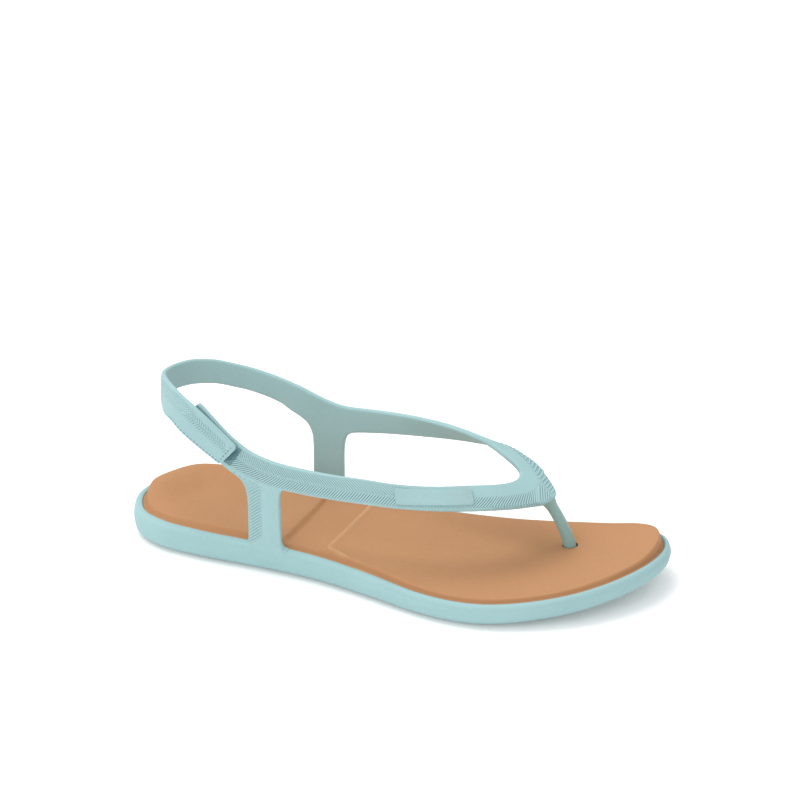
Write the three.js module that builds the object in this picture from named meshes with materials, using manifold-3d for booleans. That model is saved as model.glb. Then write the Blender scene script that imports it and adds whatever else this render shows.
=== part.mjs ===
// Strappy sport sandal for the right foot: a contoured foam footbed in a one-piece sole shell,
// a moulded thong upper with two side uprights, and a heel strap that closes with hook and loop.
// Millimetres. +X points to the toes, +Y to the inner (medial) side of the foot, +Z up.
import * as THREE from 'three';
import { mergeVertices } from 'three/addons/utils/BufferGeometryUtils.js';
import Module from 'manifold-3d';

const wasm = await Module();
wasm.setup();

// ---------------------------------------------------------------- driving dimensions
const GAP = 0.3; // clearance between neighbouring pieces

// Sole: plan outline of the rim, heel back first, then the outer side, toe and inner side.
const OUTLINE = [
  [-128.4, -4], [-126.2, -15.8], [-118, -28.3], [-104, -35.2], [-84, -37], [-47, -35.8], [-20, -36.6],
  [8, -41.2], [30, -45.8], [48, -47.4], [66, -45.2], [86, -36.2], [104.6, -22.4], [118.4, -5.4],
  [126.2, 11], [128.2, 24.5], [126, 35.5], [119.8, 44.8], [108.5, 50.5], [92, 51.6], [72, 49.4],
  [46, 44.2], [16, 38.6], [-15, 35.6], [-47, 35.1], [-80, 34.8], [-103, 32], [-115.4, 24.6],
  [-124.2, 10.6],
];
const SPINE = [[-96, -3.5], [-47, -0.5], [0, 0], [40, -2], [70, 4], [97, 16]];
const SPINE_STEPS = 20; // cross lines between the heel fan and the toe fan
const FAN_STEPS = 10; // rays round the heel and round the toe
const HEEL_FAN_X = -100; // outline x where the heel fan starts
const TOE_FAN_X = 99; // outline x where the toe fan starts
// Outline parameters: middle of the outer side, either side of the toe tip, middle of the inner side.
const OUTER_MIDDLE = 0.3;
const TOE_TIP = [0.52, 0.56];
const INNER_MIDDLE = 0.75;

const RIM_HEIGHT = [[-129, 14], [-60, 13.2], [0, 12], [45, 11], [80, 12.2], [105, 15], [128, 19]];
const RIM_WIDTH = [
  [-129, 3.2], [-118, 3.7], [-104, 4.3], [-60, 4], [0, 3.6], [45, 2.6], [90, 2.6], [128, 2.4],
];
const SOLE_BASE = [[-129, 1.2], [-112, 0], [-60, 0], [0, 0], [45, 0], [80, 1.6], [105, 4.6], [128, 8.6]];
const TRAY_DEPTH = 5; // rim top down to the tray floor
const BOTTOM_ROUND = 4.2; // radius under the side wall
const RIM_ROUND = 1.2; // radius on top of the rim
const BELLY = 0.7; // how far the side wall bulges
const BELLY_HEIGHT = 0.4; // where, as a share of the way up to the rim top
const RIM_INNER_DROP = 0.3; // inner edge of the rim below its outer part
const SHELL_LIFT = 0.5; // sole shell edge above the tread surface

// Outsole plate let into the underside.
const TREAD_INSET = 8;
const TREAD_THICKNESS = 2.2;
const TREAD_CHAMFER = 0.8;

// Footbed: a flat border, a bevel up to a pillow ridge, and a dished middle.
const FOOTBED_EDGE_DROP = 0.5; // border below the rim
const BORDER_WIDTH = 1.2;
const RIDGE_INSET = 4.6;
// Ridge above the rim: low on the outer side, and cupping the heel and toe on the inner side.
const RIDGE_OUTER = [[-129, 1.4], [-90, 1.6], [-66, 2], [0, 2], [40, 1.6], [70, 1.4], [100, 2.2], [128, 4]];
const RIDGE_INNER = [
  [-129, 5.4], [-112, 5.7], [-92, 5], [-66, 3.2], [40, 2.8], [90, 3.8], [115, 5], [128, 5.4],
];
const RIDGE_TURN = [-20, 6]; // y between which the outer rise turns into the inner one
const DISH_RISE = [[-129, 1], [-60, 1.4], [0, 2.2], [128, 1.2]]; // middle above the rim
const BEVEL_HALFWAY = 0.7; // share of the ridge's rise reached halfway up the bevel
const DISH_PULL = [0.25, 0.6]; // shares of the way in where the dish is half and fully down

// Straps.
const STRAP_THICKNESS = 2.6;
const HEEL_STRAP_THICKNESS = 2.2;
const PAD_THICKNESS = 0.75;
const EDGE_CHAMFER = 0.7;
const HEEL_STRAP_CHAMFER = 0.6;
const PAD_CHAMFER = 0.1;
const PAD_STEPS = 10;
const TANGENT_STEP = 0.02; // stations either side when a strap's direction is read
const THREAD = 0.5;
const STITCH_SIDE_STEPS = 8;
const STITCH_END_STEPS = 4;

// Edges of the front band, tab end first: [upper edge, lower edge], both on the middle surface.
const BAND = [
  [[-80.5, -33, 79.6], [-88.5, -32.2, 66.8]],
  [[-73, -33.9, 73.6], [-81, -33.1, 61]],
  [[-64.5, -34.4, 66.6], [-72.5, -34, 55]],
  [[-56, -34.5, 61.2], [-63, -34.4, 50]],
  [[-49, -34.5, 58.6], [-53, -34.5, 46.3]],
  [[-40, -34.5, 56.9], [-42, -34.7, 44.3]],
  [[-28, -34.6, 56.3], [-28, -35.2, 44]],
  [[-14, -33.5, 55.8], [-13, -35.4, 44.2]],
  [[0, -30.5, 55], [3, -34.7, 44.6]],
  [[15.5, -26, 53.3], [19, -31.9, 44.3]],
  [[30, -18.5, 51.5], [35, -27, 44.3]],
  [[43, -8.5, 50], [49, -19, 43.5]],
  [[51.5, 0.5, 48], [62, -8, 42]],
  [[56.3, 8.5, 46.4], [69.5, 2.3, 40.2]],
  [[58.2, 14.5, 46.3], [74.4, 10.2, 39.1]],
  [[57.8, 18.6, 47.6], [76.2, 17.2, 39.8]],
  [[54.8, 20.8, 49.6], [73.6, 21.4, 41.6]],
  [[50.3, 22.3, 51.8], [65.4, 27.6, 45.7]],
  [[44, 24.2, 54.5], [56.4, 31.8, 48.6]],
  [[36.5, 26.6, 56.7], [46.6, 35, 50.5]],
  [[28, 28.8, 57.9], [35, 36.6, 50.8]],
  [[16, 31.3, 58.8], [19, 37, 49.9]],
  [[1.5, 33, 59.2], [3, 36.3, 48.7]],
  [[-12, 33.7, 59], [-14, 35.2, 47.3]],
  [[-25, 33.9, 58.3], [-27, 34.5, 45.7]],
  [[-38, 33.9, 57.7], [-39, 33.9, 44.2]],
  [[-49, 33.7, 59.8], [-51, 33.8, 46.5]],
  [[-61.3, 33, 64.3], [-62.5, 33, 50.7]],
  [[-74, 31.4, 68.4], [-75, 31.4, 56]],
  [[-85, 28.6, 71.6], [-85.5, 28.4, 59.6]],
  [[-93, 24.8, 74.1], [-93, 24.8, 61.8]],
];
const BAND_STEPS = 66;

// Heel strap, from the inner ankle round the heel to the outer side.
const HEEL_STRAP = [
  [[-93.3, 24.6, 74.2], [-93.3, 24.6, 61.9]],
  [[-100, 20.3, 76.5], [-100, 20.3, 64]],
  [[-107, 13, 78.4], [-107, 12.7, 65.6]],
  [[-110.8, 5, 79.2], [-111.1, 5, 66.3]],
  [[-111.9, -4, 80], [-112.6, -4, 66.8]],
  [[-109, -14, 82], [-110.3, -13, 67]],
  [[-102, -24, 83.7], [-106, -20.5, 67]],
  [[-94, -31, 83.4], [-101, -27.5, 67.2]],
  [[-87.6, -35.1, 82], [-95, -32.5, 67.2]],
];
const HEEL_STRAP_STEPS = 30;

// Closure flap, continuing the heel strap outside the tab.
const FLAP = [
  [[-87.3, -35.2, 81.9], [-94.7, -32.7, 67.1]],
  [[-81, -37.8, 79.9], [-88.3, -36.9, 65]],
  [[-74, -38.9, 75.8], [-81, -38.3, 61]],
  [[-66, -39.3, 70], [-73.4, -39.2, 57]],
  [[-57.7, -39.4, 63.4], [-66.8, -39.4, 53.2]],
];
const FLAP_STEPS = 14;

// Uprights, bottom first: [edge 1, edge 2], ordered so that the strap faces outwards.
const OUTER_UPRIGHT = [
  [[-56, -34.5, 9], [-37.6, -34.5, 9]],
  [[-55.4, -34.5, 20], [-37.8, -34.5, 20]],
  [[-55.2, -34.5, 33], [-37.9, -34.5, 32]],
  [[-56.6, -34.5, 42.5], [-37, -34.6, 39.5]],
  [[-60, -34.5, 48], [-33.5, -34.9, 43.6]],
  [[-64.5, -34.4, 53.5], [-30, -34.8, 48]],
];
const INNER_UPRIGHT = [
  [[-38.2, 33.8, 9], [-56, 33.8, 9]],
  [[-39, 33.8, 20], [-55.7, 33.8, 20]],
  [[-39, 33.8, 33], [-56, 33.8, 33]],
  [[-37.6, 33.9, 40.5], [-57.6, 33.6, 42.5]],
  [[-33.5, 34.1, 44.8], [-61.5, 33.2, 48.8]],
  [[-29, 34.2, 49], [-66, 32.7, 54]],
];
const UPRIGHT_STEPS = 16;
const LEG_X = [-56, -37.6]; // leg of each upright, let into the sole rim
const LEG_THICKNESS = 4;
const LEG_LAP = 0.4; // top of the leg above the rim
const LEG_RUN_OUT = 3; // how far the leg's pocket runs out through the wall
const FOOT_REACH = 12; // moulded foot under the footbed, inwards from the leg
const FOOT_THICKNESS = 1.6;
const FOOT_LAP = 1; // foot kept behind the leg's outer face
const UPRIGHT_THINNER = 0.1; // than the band, so that their faces don't coincide

// Toe post: centre line from the anchor up into the nose of the band.
const POST_ROUTE = [
  [83, 23, 3.2], [82.6, 22.9, 9], [81.4, 22.2, 16], [77.9, 20.4, 26], [73, 17.6, 36.5], [71.3, 16.6, 40.2],
];
const POST_RADIUS = 3;
const POST_SIDES = 16;
const POST_STEPS = 14;
const HEAD_RADIUS = 6;
const HEAD_THICKNESS = 1.3;
const WASHER_RADIUS = 9;
const WASHER_THICKNESS = 1;
const ANCHOR = [83, 23, 3]; // middle of the head's underside
const ANCHOR_TILT = -0.11; // the underside rises towards the toe here
const ANCHOR_RUN_OUT = 6; // how far the anchor's pocket runs down through the tread
const DISC_SIDES = 24;

// Badge on the outer side of the band, and stitch rows.
const BADGE_SPAN = [8.95, 11.1]; // in stations of BAND
const BADGE_ACROSS = [-0.36, 0.31]; // share of the half width either side of the middle
const BADGE_THICKNESS = 0.7;
const BADGE_CHAMFER = 0.15;
const HOOK_SPAN = [0.2, 3.15];
const LOOP_SPAN = [1.05, 3.8];
const PAD_ACROSS = [-0.42, 0.42];
const STITCH_MARGIN = 0.07;
const TAB_STITCH_ACROSS = [-0.35, 0.35];
const FLAP_STITCH_ACROSS = [-0.38, 0.38];

// ---------------------------------------------------------------- small helpers
const vec = (p) => new THREE.Vector3(p[0], p[1], p[2]);

// Smooth value of a [[x, value], ...] table at x.
function along(table, x) {
  const last = table.length - 1;
  let i = 0;
  while (i < last - 1 && x > table[i + 1][0]) i += 1;
  const [x0, y0] = table[i];
  const [x1, y1] = table[i + 1];
  const slope = (a, b) => (table[b][1] - table[a][1]) / (table[b][0] - table[a][0]);
  const chord = slope(i, i + 1);
  const blend = (s) => (s * chord > 0 ? (s + chord) / 2 : 0);
  const m0 = i > 0 ? blend(slope(i - 1, i)) : chord;
  const m1 = i < last - 1 ? blend(slope(i + 1, i + 2)) : chord;
  const h = x1 - x0;
  const t = THREE.MathUtils.clamp((x - x0) / h, 0, 1);
  const cubic = (2 * t ** 3 - 3 * t ** 2 + 1) * y0 + (t ** 3 - 2 * t ** 2 + t) * h * m0;
  return cubic + (3 * t ** 2 - 2 * t ** 3) * y1 + (t ** 3 - t ** 2) * h * m1;
}

// Closed body from a list of equal rings of points. A ring that has shrunk to a line closes itself;
// any other end gets a fan, so it has to be convex. Joined rings (looped) need no ends.
function loft(rings, looped = false) {
  const size = rings[0].length;
  const positions = rings.flat().flatMap((p) => [p.x, p.y, p.z]);
  const index = [];
  const spans = looped ? rings.length : rings.length - 1;
  for (let r = 0; r < spans; r += 1) {
    const a = r * size;
    const b = ((r + 1) % rings.length) * size;
    for (let i = 0; i < size; i += 1) {
      const j = (i + 1) % size;
      index.push(a + i, a + j, b + j, a + i, b + j, b + i);
    }
  }
  if (!looped) {
    const end = (rings.length - 1) * size;
    for (let i = 1; i < size - 1; i += 1) {
      index.push(0, i + 1, i, end, end + i, end + i + 1);
    }
  }
  const raw = new THREE.BufferGeometry();
  raw.setAttribute('position', new THREE.Float32BufferAttribute(positions, 3));
  raw.setIndex(index);
  return faceOut(dropSlivers(mergeVertices(raw, 1e-3)));
}

// Triangles that collapsed when their corners merged are removed. So are two that cover each other,
// which is what an end fan leaves on a ring that has shrunk to a line.
function dropSlivers(geometry) {
  const old = geometry.index.array;
  const kept = new Map();
  for (let i = 0; i < old.length; i += 3) {
    const [a, b, c] = [old[i], old[i + 1], old[i + 2]];
    const key = [a, b, c].sort((p, q) => p - q).join();
    if (a === b || b === c || c === a) continue;
    if (kept.has(key)) kept.delete(key);
    else kept.set(key, [a, b, c]);
  }
  geometry.setIndex([...kept.values()].flat());
  return geometry;
}

function faceOut(geometry) {
  const p = geometry.attributes.position;
  const index = geometry.index.array;
  const corner = [new THREE.Vector3(), new THREE.Vector3(), new THREE.Vector3()];
  let volume = 0;
  for (let i = 0; i < index.length; i += 3) {
    corner.forEach((v, k) => v.fromBufferAttribute(p, index[i + k]));
    volume += corner[0].dot(corner[1].clone().cross(corner[2]));
  }
  if (volume < 0) index.reverse();
  return geometry;
}

// Any closed geometry as a manifold-3d solid, and back.
function solid(geometry) {
  const bare = geometry.clone();
  bare.deleteAttribute('normal');
  bare.deleteAttribute('uv');
  const merged = bare.index && !geometry.attributes.normal ? bare : mergeVertices(bare, 1e-4);
  return new wasm.Manifold(new wasm.Mesh({
    numProp: 3,
    vertProperties: new Float32Array(merged.attributes.position.array),
    triVerts: new Uint32Array(merged.index.array),
  }));
}

function surface(manifold) {
  const mesh = manifold.getMesh();
  const geometry = new THREE.BufferGeometry();
  geometry.setAttribute('position', new THREE.BufferAttribute(new Float32Array(mesh.vertProperties), 3));
  geometry.setIndex(new THREE.BufferAttribute(new Uint32Array(mesh.triVerts), 1));
  return geometry;
}

function block([x0, x1], [y0, y1], [z0, z1]) {
  const box = new THREE.BoxGeometry(x1 - x0, y1 - y0, z1 - z0);
  return solid(box.translate((x0 + x1) / 2, (y0 + y1) / 2, (z0 + z1) / 2));
}

// ---------------------------------------------------------------- sole
const outline = new THREE.CatmullRomCurve3(OUTLINE.map(([x, y]) => vec([x, y, 0])), true, 'centripetal');
const spine = new THREE.CatmullRomCurve3(SPINE.map(([x, y]) => vec([x, y, 0])), false, 'centripetal');

// Curve parameter, between two limits, where the outline crosses a given x.
function outlineAt(x, from, to) {
  let [low, high] = [from, to];
  const rising = outline.getPoint(to).x > outline.getPoint(from).x;
  for (let i = 0; i < 40; i += 1) {
    const middle = (low + high) / 2;
    if ((outline.getPoint(middle).x < x) === rising) low = middle;
    else high = middle;
  }
  return (low + high) / 2;
}

// The outline as rays: each has its rim point, its inward direction and the spine point it ends at.
function footRays() {
  const heelOuter = outlineAt(HEEL_FAN_X, 0, OUTER_MIDDLE);
  const toeOuter = outlineAt(TOE_FAN_X, OUTER_MIDDLE, TOE_TIP[0]);
  const toeInner = outlineAt(TOE_FAN_X, TOE_TIP[1], INNER_MIDDLE);
  const heelInner = outlineAt(HEEL_FAN_X, INNER_MIDDLE, 1);
  const rays = [];
  const add = (t, s) => {
    const rim = outline.getPoint(t % 1);
    const tangent = outline.getTangent(t % 1);
    rays.push({ rim, inward: vec([-tangent.y, tangent.x, 0]), core: spine.getPoint(s) });
  };
  const side = (from, to, forward) => {
    const [first, last] = [outline.getPoint(from).x, outline.getPoint(to).x];
    for (let i = 0; i < SPINE_STEPS; i += 1) {
      const f = i / SPINE_STEPS;
      add(outlineAt(THREE.MathUtils.lerp(first, last, f), from, to), forward ? f : 1 - f);
    }
  };
  const fan = (from, to, s) => {
    for (let i = 0; i < FAN_STEPS; i += 1) add(THREE.MathUtils.lerp(from, to, i / FAN_STEPS), s);
  };
  side(heelOuter, toeOuter, true);
  fan(toeOuter, toeInner, 1);
  side(toeInner, heelInner, false);
  fan(heelInner, heelOuter + 1, 0);
  return rays;
}
const rays = footRays();

// One ring of the sole: inset from the rim, then drawn a share of the way to the spine.
function ring(inset, pull, height) {
  return rays.map(({ rim, inward, core }) => {
    const depth = typeof inset === 'function' ? inset(rim.x) : inset;
    const p = rim.clone().addScaledVector(inward, depth).lerp(core, pull);
    p.z = height(p.x, p.y);
    return p;
  });
}

const rimTop = (x) => along(RIM_HEIGHT, x);
const rimWidth = (x) => along(RIM_WIDTH, x);
const treadLevel = (x) => along(SOLE_BASE, x);
const shellBase = (x) => treadLevel(x) + SHELL_LIFT;
const trayFloor = (x) => rimTop(x) - TRAY_DEPTH;
const treadSeat = (x) => treadLevel(x) + TREAD_THICKNESS + GAP;

function soleShell(cutters) {
  const rings = [
    ring(TREAD_INSET, 1, treadSeat),
    ring(TREAD_INSET, 0.5, treadSeat),
    ring(TREAD_INSET, 0, treadSeat),
    ring(TREAD_INSET, 0, shellBase),
  ];
  for (let k = 0; k <= 3; k += 1) {
    const turn = (k / 3) * (Math.PI / 2);
    const inset = BOTTOM_ROUND * (1 - Math.sin(turn));
    rings.push(ring(inset, 0, (x) => shellBase(x) + BOTTOM_ROUND * (1 - Math.cos(turn))));
  }
  const belly = (x) => THREE.MathUtils.lerp(shellBase(x) + BOTTOM_ROUND, rimTop(x), BELLY_HEIGHT);
  rings.push(ring(-BELLY, 0, belly));
  for (let k = 0; k <= 2; k += 1) {
    const turn = (k / 2) * (Math.PI / 2);
    const inset = RIM_ROUND * (1 - Math.cos(turn));
    rings.push(ring(inset, 0, (x) => rimTop(x) - RIM_ROUND * (1 - Math.sin(turn))));
  }
  rings.push(ring(rimWidth, 0, (x) => rimTop(x) - RIM_INNER_DROP));
  rings.push(ring(rimWidth, 0, trayFloor));
  rings.push(ring(rimWidth, 0.5, trayFloor));
  rings.push(ring(rimWidth, 1, trayFloor));
  return surface(cutters.reduce((body, cutter) => body.subtract(cutter), solid(loft(rings))));
}

function outsole(cutter) {
  const top = (x) => treadLevel(x) + TREAD_THICKNESS;
  const edge = TREAD_INSET + GAP;
  const rings = [
    ring(edge, 1, treadLevel),
    ring(edge, 0.5, treadLevel),
    ring(edge + TREAD_CHAMFER, 0, treadLevel),
    ring(edge, 0, (x) => treadLevel(x) + TREAD_CHAMFER),
    ring(edge, 0, top),
    ring(edge, 0.5, top),
    ring(edge, 1, top),
  ];
  return surface(solid(loft(rings)).subtract(cutter));
}

function footbed(cutters) {
  const border = (x) => rimWidth(x) + GAP;
  const crest = (x) => border(x) + RIDGE_INSET;
  const under = (x) => trayFloor(x) + GAP;
  const rise = (x, y) => THREE.MathUtils.lerp(along(RIDGE_OUTER, x), along(RIDGE_INNER, x),
    THREE.MathUtils.smoothstep(y, ...RIDGE_TURN));
  const ridge = (share) => (x, y) => rimTop(x) + share * rise(x, y);
  const dish = (x) => rimTop(x) + along(DISH_RISE, x);
  const edge = (x) => rimTop(x) - FOOTBED_EDGE_DROP;
  const rings = [
    ring(border, 1, under),
    ring(border, 0.5, under),
    ring(border, 0, under),
    ring(border, 0, edge),
    ring((x) => border(x) + BORDER_WIDTH, 0, edge),
    ring((x) => border(x) + (BORDER_WIDTH + RIDGE_INSET) / 2, 0, ridge(BEVEL_HALFWAY)),
    ring(crest, 0, ridge(1)),
    ring(crest, DISH_PULL[0], (x, y) => (ridge(1)(x, y) + dish(x)) / 2),
    ring(crest, DISH_PULL[1], dish),
    ring(crest, 1, dish),
  ];
  return surface(cutters.reduce((body, cutter) => body.subtract(cutter), solid(loft(rings))));
}

// ---------------------------------------------------------------- straps
// A strap's two edges as matching curves, read at a station number.
function edges(stations) {
  const curve = (side) => new THREE.CatmullRomCurve3(stations.map((s) => vec(s[side])), false, 'catmullrom');
  const [upper, lower] = [curve(0), curve(1)];
  const last = stations.length - 1;
  return (station) => {
    const t = THREE.MathUtils.clamp(station / last, 0, 1);
    return [upper.getPoint(t), lower.getPoint(t)];
  };
}

// Local frame of a strap at a station: middle, direction across, outward normal and half width.
function frameAt(strapEdges, station) {
  const [upper, lower] = strapEdges(station);
  const middle = (s) => strapEdges(s)[0].add(strapEdges(s)[1]).multiplyScalar(0.5);
  const forward = middle(station + TANGENT_STEP).sub(middle(station - TANGENT_STEP));
  const across = upper.clone().sub(lower);
  const half = across.length() / 2;
  across.normalize();
  const out = forward.cross(across).normalize();
  return { centre: upper.add(lower).multiplyScalar(0.5), across, out, half };
}

// Strap body between two stations. spread gives the two edges as shares of the full width, from -0.5
// to 0.5, and lift moves the body outwards from the middle surface.
function strap(stations, options) {
  const { thickness, steps, span = [0, stations.length - 1], spread = [-0.5, 0.5], lift = 0 } = options;
  const { chamfer = EDGE_CHAMFER } = options;
  const strapEdges = edges(stations);
  const rings = [];
  for (let i = 0; i <= steps; i += 1) {
    const station = THREE.MathUtils.lerp(span[0], span[1], i / steps);
    const { centre, across, out, half } = frameAt(strapEdges, station);
    const [low, high] = spread.map((share) => share * 2 * half);
    const t = thickness / 2;
    const corners = [[high - chamfer, t], [high, t - chamfer], [high, chamfer - t], [high - chamfer, -t],
      [low + chamfer, -t], [low, chamfer - t], [low, t - chamfer], [low + chamfer, t]];
    const place = ([u, v]) => centre.clone().addScaledVector(across, u).addScaledVector(out, v + lift);
    rings.push(corners.map(place));
  }
  return loft(rings);
}

// Thread row sewn round a rectangle of a strap, as one closed cord of square section.
function stitchFrame(stations, span, spread, lift) {
  const strapEdges = edges(stations);
  const [s0, s1] = span;
  const [w0, w1] = spread;
  const path = [];
  const run = (from, to, steps) => {
    for (let i = 0; i < steps; i += 1) {
      const share = i / steps;
      path.push([THREE.MathUtils.lerp(from[0], to[0], share), THREE.MathUtils.lerp(from[1], to[1], share)]);
    }
  };
  run([s0, w0], [s1, w0], STITCH_SIDE_STEPS);
  run([s1, w0], [s1, w1], STITCH_END_STEPS);
  run([s1, w1], [s0, w1], STITCH_SIDE_STEPS);
  run([s0, w1], [s0, w0], STITCH_END_STEPS);
  const points = path.map(([station, share]) => {
    const { centre, across, out, half } = frameAt(strapEdges, station);
    return { at: centre.clone().addScaledVector(across, share * 2 * half).addScaledVector(out, lift), out };
  });
  const half = THREAD / 2;
  return loft(points.map(({ at, out }, i) => {
    const before = points[(i + points.length - 1) % points.length].at;
    const after = points[(i + 1) % points.length].at;
    const side = after.clone().sub(before).cross(out).normalize();
    const corners = [[-half, -half], [half, -half], [half, half], [-half, half]];
    return corners.map(([u, v]) => at.clone().addScaledVector(side, u).addScaledVector(out, v));
  }), true);
}

// Leg and foot that hold one upright in the sole. outward is -1 on the outer side, +1 on the inner.
function leg(outward, face, clearance) {
  const [x0, x1] = LEG_X;
  const middle = (x0 + x1) / 2;
  const floor = trayFloor(middle) + GAP - clearance;
  const span = (from, to) => [Math.min(from, to) - clearance, Math.max(from, to) + clearance];
  const root = block([x0 - clearance, x1 + clearance],
    span(face * outward, (face - LEG_THICKNESS) * outward), [floor, rimTop(middle) + LEG_LAP + clearance]);
  const foot = block([x0 - clearance, x1 + clearance],
    span((face - FOOT_LAP) * outward, (face - LEG_THICKNESS - FOOT_REACH) * outward),
    [floor, floor + FOOT_THICKNESS + 2 * clearance]);
  return root.add(foot);
}
const OUTER_FACE = -OUTER_UPRIGHT[0][0][1] + STRAP_THICKNESS / 2;
const INNER_FACE = INNER_UPRIGHT[0][0][1] + STRAP_THICKNESS / 2;

function upper(postCutter) {
  const band = solid(strap(BAND, { thickness: STRAP_THICKNESS, steps: BAND_STEPS }));
  const thin = { thickness: STRAP_THICKNESS - UPRIGHT_THINNER, steps: UPRIGHT_STEPS };
  const outer = solid(strap(OUTER_UPRIGHT, thin));
  const inner = solid(strap(INNER_UPRIGHT, thin));
  const legs = leg(-1, OUTER_FACE, 0).add(leg(1, INNER_FACE, 0));
  return surface(band.add(outer).add(inner).add(legs).subtract(postCutter));
}

// ---------------------------------------------------------------- toe post
function postTube(radius) {
  const route = new THREE.CatmullRomCurve3(POST_ROUTE.map(vec), false, 'centripetal');
  const rings = [];
  for (let i = 0; i <= POST_STEPS; i += 1) {
    const centre = route.getPoint(i / POST_STEPS);
    const forward = route.getTangent(i / POST_STEPS);
    const across = new THREE.Vector3(0, 1, 0).cross(forward).normalize();
    const side = forward.clone().cross(across);
    rings.push(Array.from({ length: POST_SIDES }, (_, k) => {
      const turn = (k / POST_SIDES) * 2 * Math.PI;
      const point = centre.clone().addScaledVector(across, radius * Math.cos(turn));
      return point.addScaledVector(side, radius * Math.sin(turn));
    }));
  }
  return solid(loft(rings));
}

// Disc square to the underside at the toe post, from one height above the anchor to another.
function anchorDisc(radius, from, to) {
  const disc = new THREE.CylinderGeometry(radius, radius, to - from, DISC_SIDES);
  disc.rotateX(Math.PI / 2).translate(0, 0, (from + to) / 2);
  return solid(disc.rotateY(ANCHOR_TILT).translate(...ANCHOR));
}

function toePost() {
  return surface(postTube(POST_RADIUS).add(anchorDisc(HEAD_RADIUS, 0, HEAD_THICKNESS)));
}

function toePostWasher() {
  const base = HEAD_THICKNESS + GAP;
  const disc = anchorDisc(WASHER_RADIUS, base, base + WASHER_THICKNESS);
  return surface(disc.subtract(postTube(POST_RADIUS + GAP)));
}

// ---------------------------------------------------------------- assembly
const AQUA = 0xa3cfd0;
const TAN = 0xc99a6b;
const RUBBER = 0x8fbfc1;
const POST_AQUA = 0x8fb5b3;
const WASHER_WHITE = 0xd8dcd8;
const HOOK_TEAL = 0x5b8d8c;
const LOOP_TEAL = 0x6fa3a1;
const THREAD_AQUA = 0x9fcfce;
const BADGE_AQUA = 0xa9d4d5;
const PIECES = new THREE.Group();
function addPiece(name, geometry, color, roughness) {
  geometry.computeVertexNormals();
  const mesh = new THREE.Mesh(geometry, new THREE.MeshStandardMaterial({ color, roughness, metalness: 0 }));
  mesh.name = name;
  PIECES.add(mesh);
}

const postHole = postTube(POST_RADIUS + GAP);
const pocketTop = HEAD_THICKNESS + WASHER_THICKNESS + 2 * GAP;
const anchorPocket = anchorDisc(WASHER_RADIUS + GAP, -ANCHOR_RUN_OUT, pocketTop);
const legPockets = [leg(-1, OUTER_FACE + LEG_RUN_OUT, GAP), leg(1, INNER_FACE + LEG_RUN_OUT, GAP),
  leg(-1, OUTER_FACE, GAP), leg(1, INNER_FACE, GAP)];

addPiece('sole_shell', soleShell([postHole, anchorPocket, ...legPockets]), AQUA, 0.62);
addPiece('outsole', outsole(anchorPocket), RUBBER, 0.8);
addPiece('footbed', footbed([postHole, ...legPockets]), TAN, 0.75);
addPiece('upper', upper(postHole), AQUA, 0.6);
addPiece('toe_post', toePost(), POST_AQUA, 0.45);
addPiece('toe_post_washer', toePostWasher(), WASHER_WHITE, 0.5);

const bandFace = STRAP_THICKNESS / 2 + GAP;
const pad = { thickness: PAD_THICKNESS, spread: PAD_ACROSS, steps: PAD_STEPS, chamfer: PAD_CHAMFER };
const hookPad = { ...pad, span: HOOK_SPAN, lift: bandFace + PAD_THICKNESS / 2 };
const tabStitchSpan = [HOOK_SPAN[0] + STITCH_MARGIN, HOOK_SPAN[1] - STITCH_MARGIN];
const badge = { thickness: BADGE_THICKNESS, spread: BADGE_ACROSS, steps: PAD_STEPS, chamfer: BADGE_CHAMFER,
  span: BADGE_SPAN, lift: bandFace + BADGE_THICKNESS / 2 };
addPiece('hook_pad', strap(BAND, hookPad), HOOK_TEAL, 0.95);
addPiece('tab_stitching', stitchFrame(BAND, tabStitchSpan, TAB_STITCH_ACROSS, -(bandFace + THREAD / 2)),
  THREAD_AQUA, 0.7);
addPiece('strap_badge', strap(BAND, badge), BADGE_AQUA, 0.55);

const flapFace = HEEL_STRAP_THICKNESS / 2 + GAP;
const thinStrap = { thickness: HEEL_STRAP_THICKNESS, chamfer: HEEL_STRAP_CHAMFER };
const loopPad = { ...pad, span: LOOP_SPAN, lift: -(flapFace + PAD_THICKNESS / 2) };
addPiece('heel_strap', strap(HEEL_STRAP, { ...thinStrap, steps: HEEL_STRAP_STEPS }), AQUA, 0.6);
addPiece('closure_flap', strap(FLAP, { ...thinStrap, steps: FLAP_STEPS }), AQUA, 0.6);
addPiece('loop_pad', strap(FLAP, loopPad), LOOP_TEAL, 0.95);
addPiece('flap_stitching', stitchFrame(FLAP, LOOP_SPAN, FLAP_STITCH_ACROSS, flapFace + THREAD / 2),
  THREAD_AQUA, 0.7);

// The origin is the middle of the footprint, on the ground.
const extent = new THREE.Box3().setFromObject(PIECES);
const centre = extent.getCenter(new THREE.Vector3());
PIECES.position.set(-centre.x, -centre.y, -extent.min.z);

export default PIECES;
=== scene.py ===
"""Looks of the strappy sport sandal: moulded sole, footbed, strap upper, toe post and closure.

Lengths are in millimetres in the part's own axes (+X toe, +Y inner side, +Z up). new_object() moves
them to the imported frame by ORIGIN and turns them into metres.
"""

import math

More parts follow.
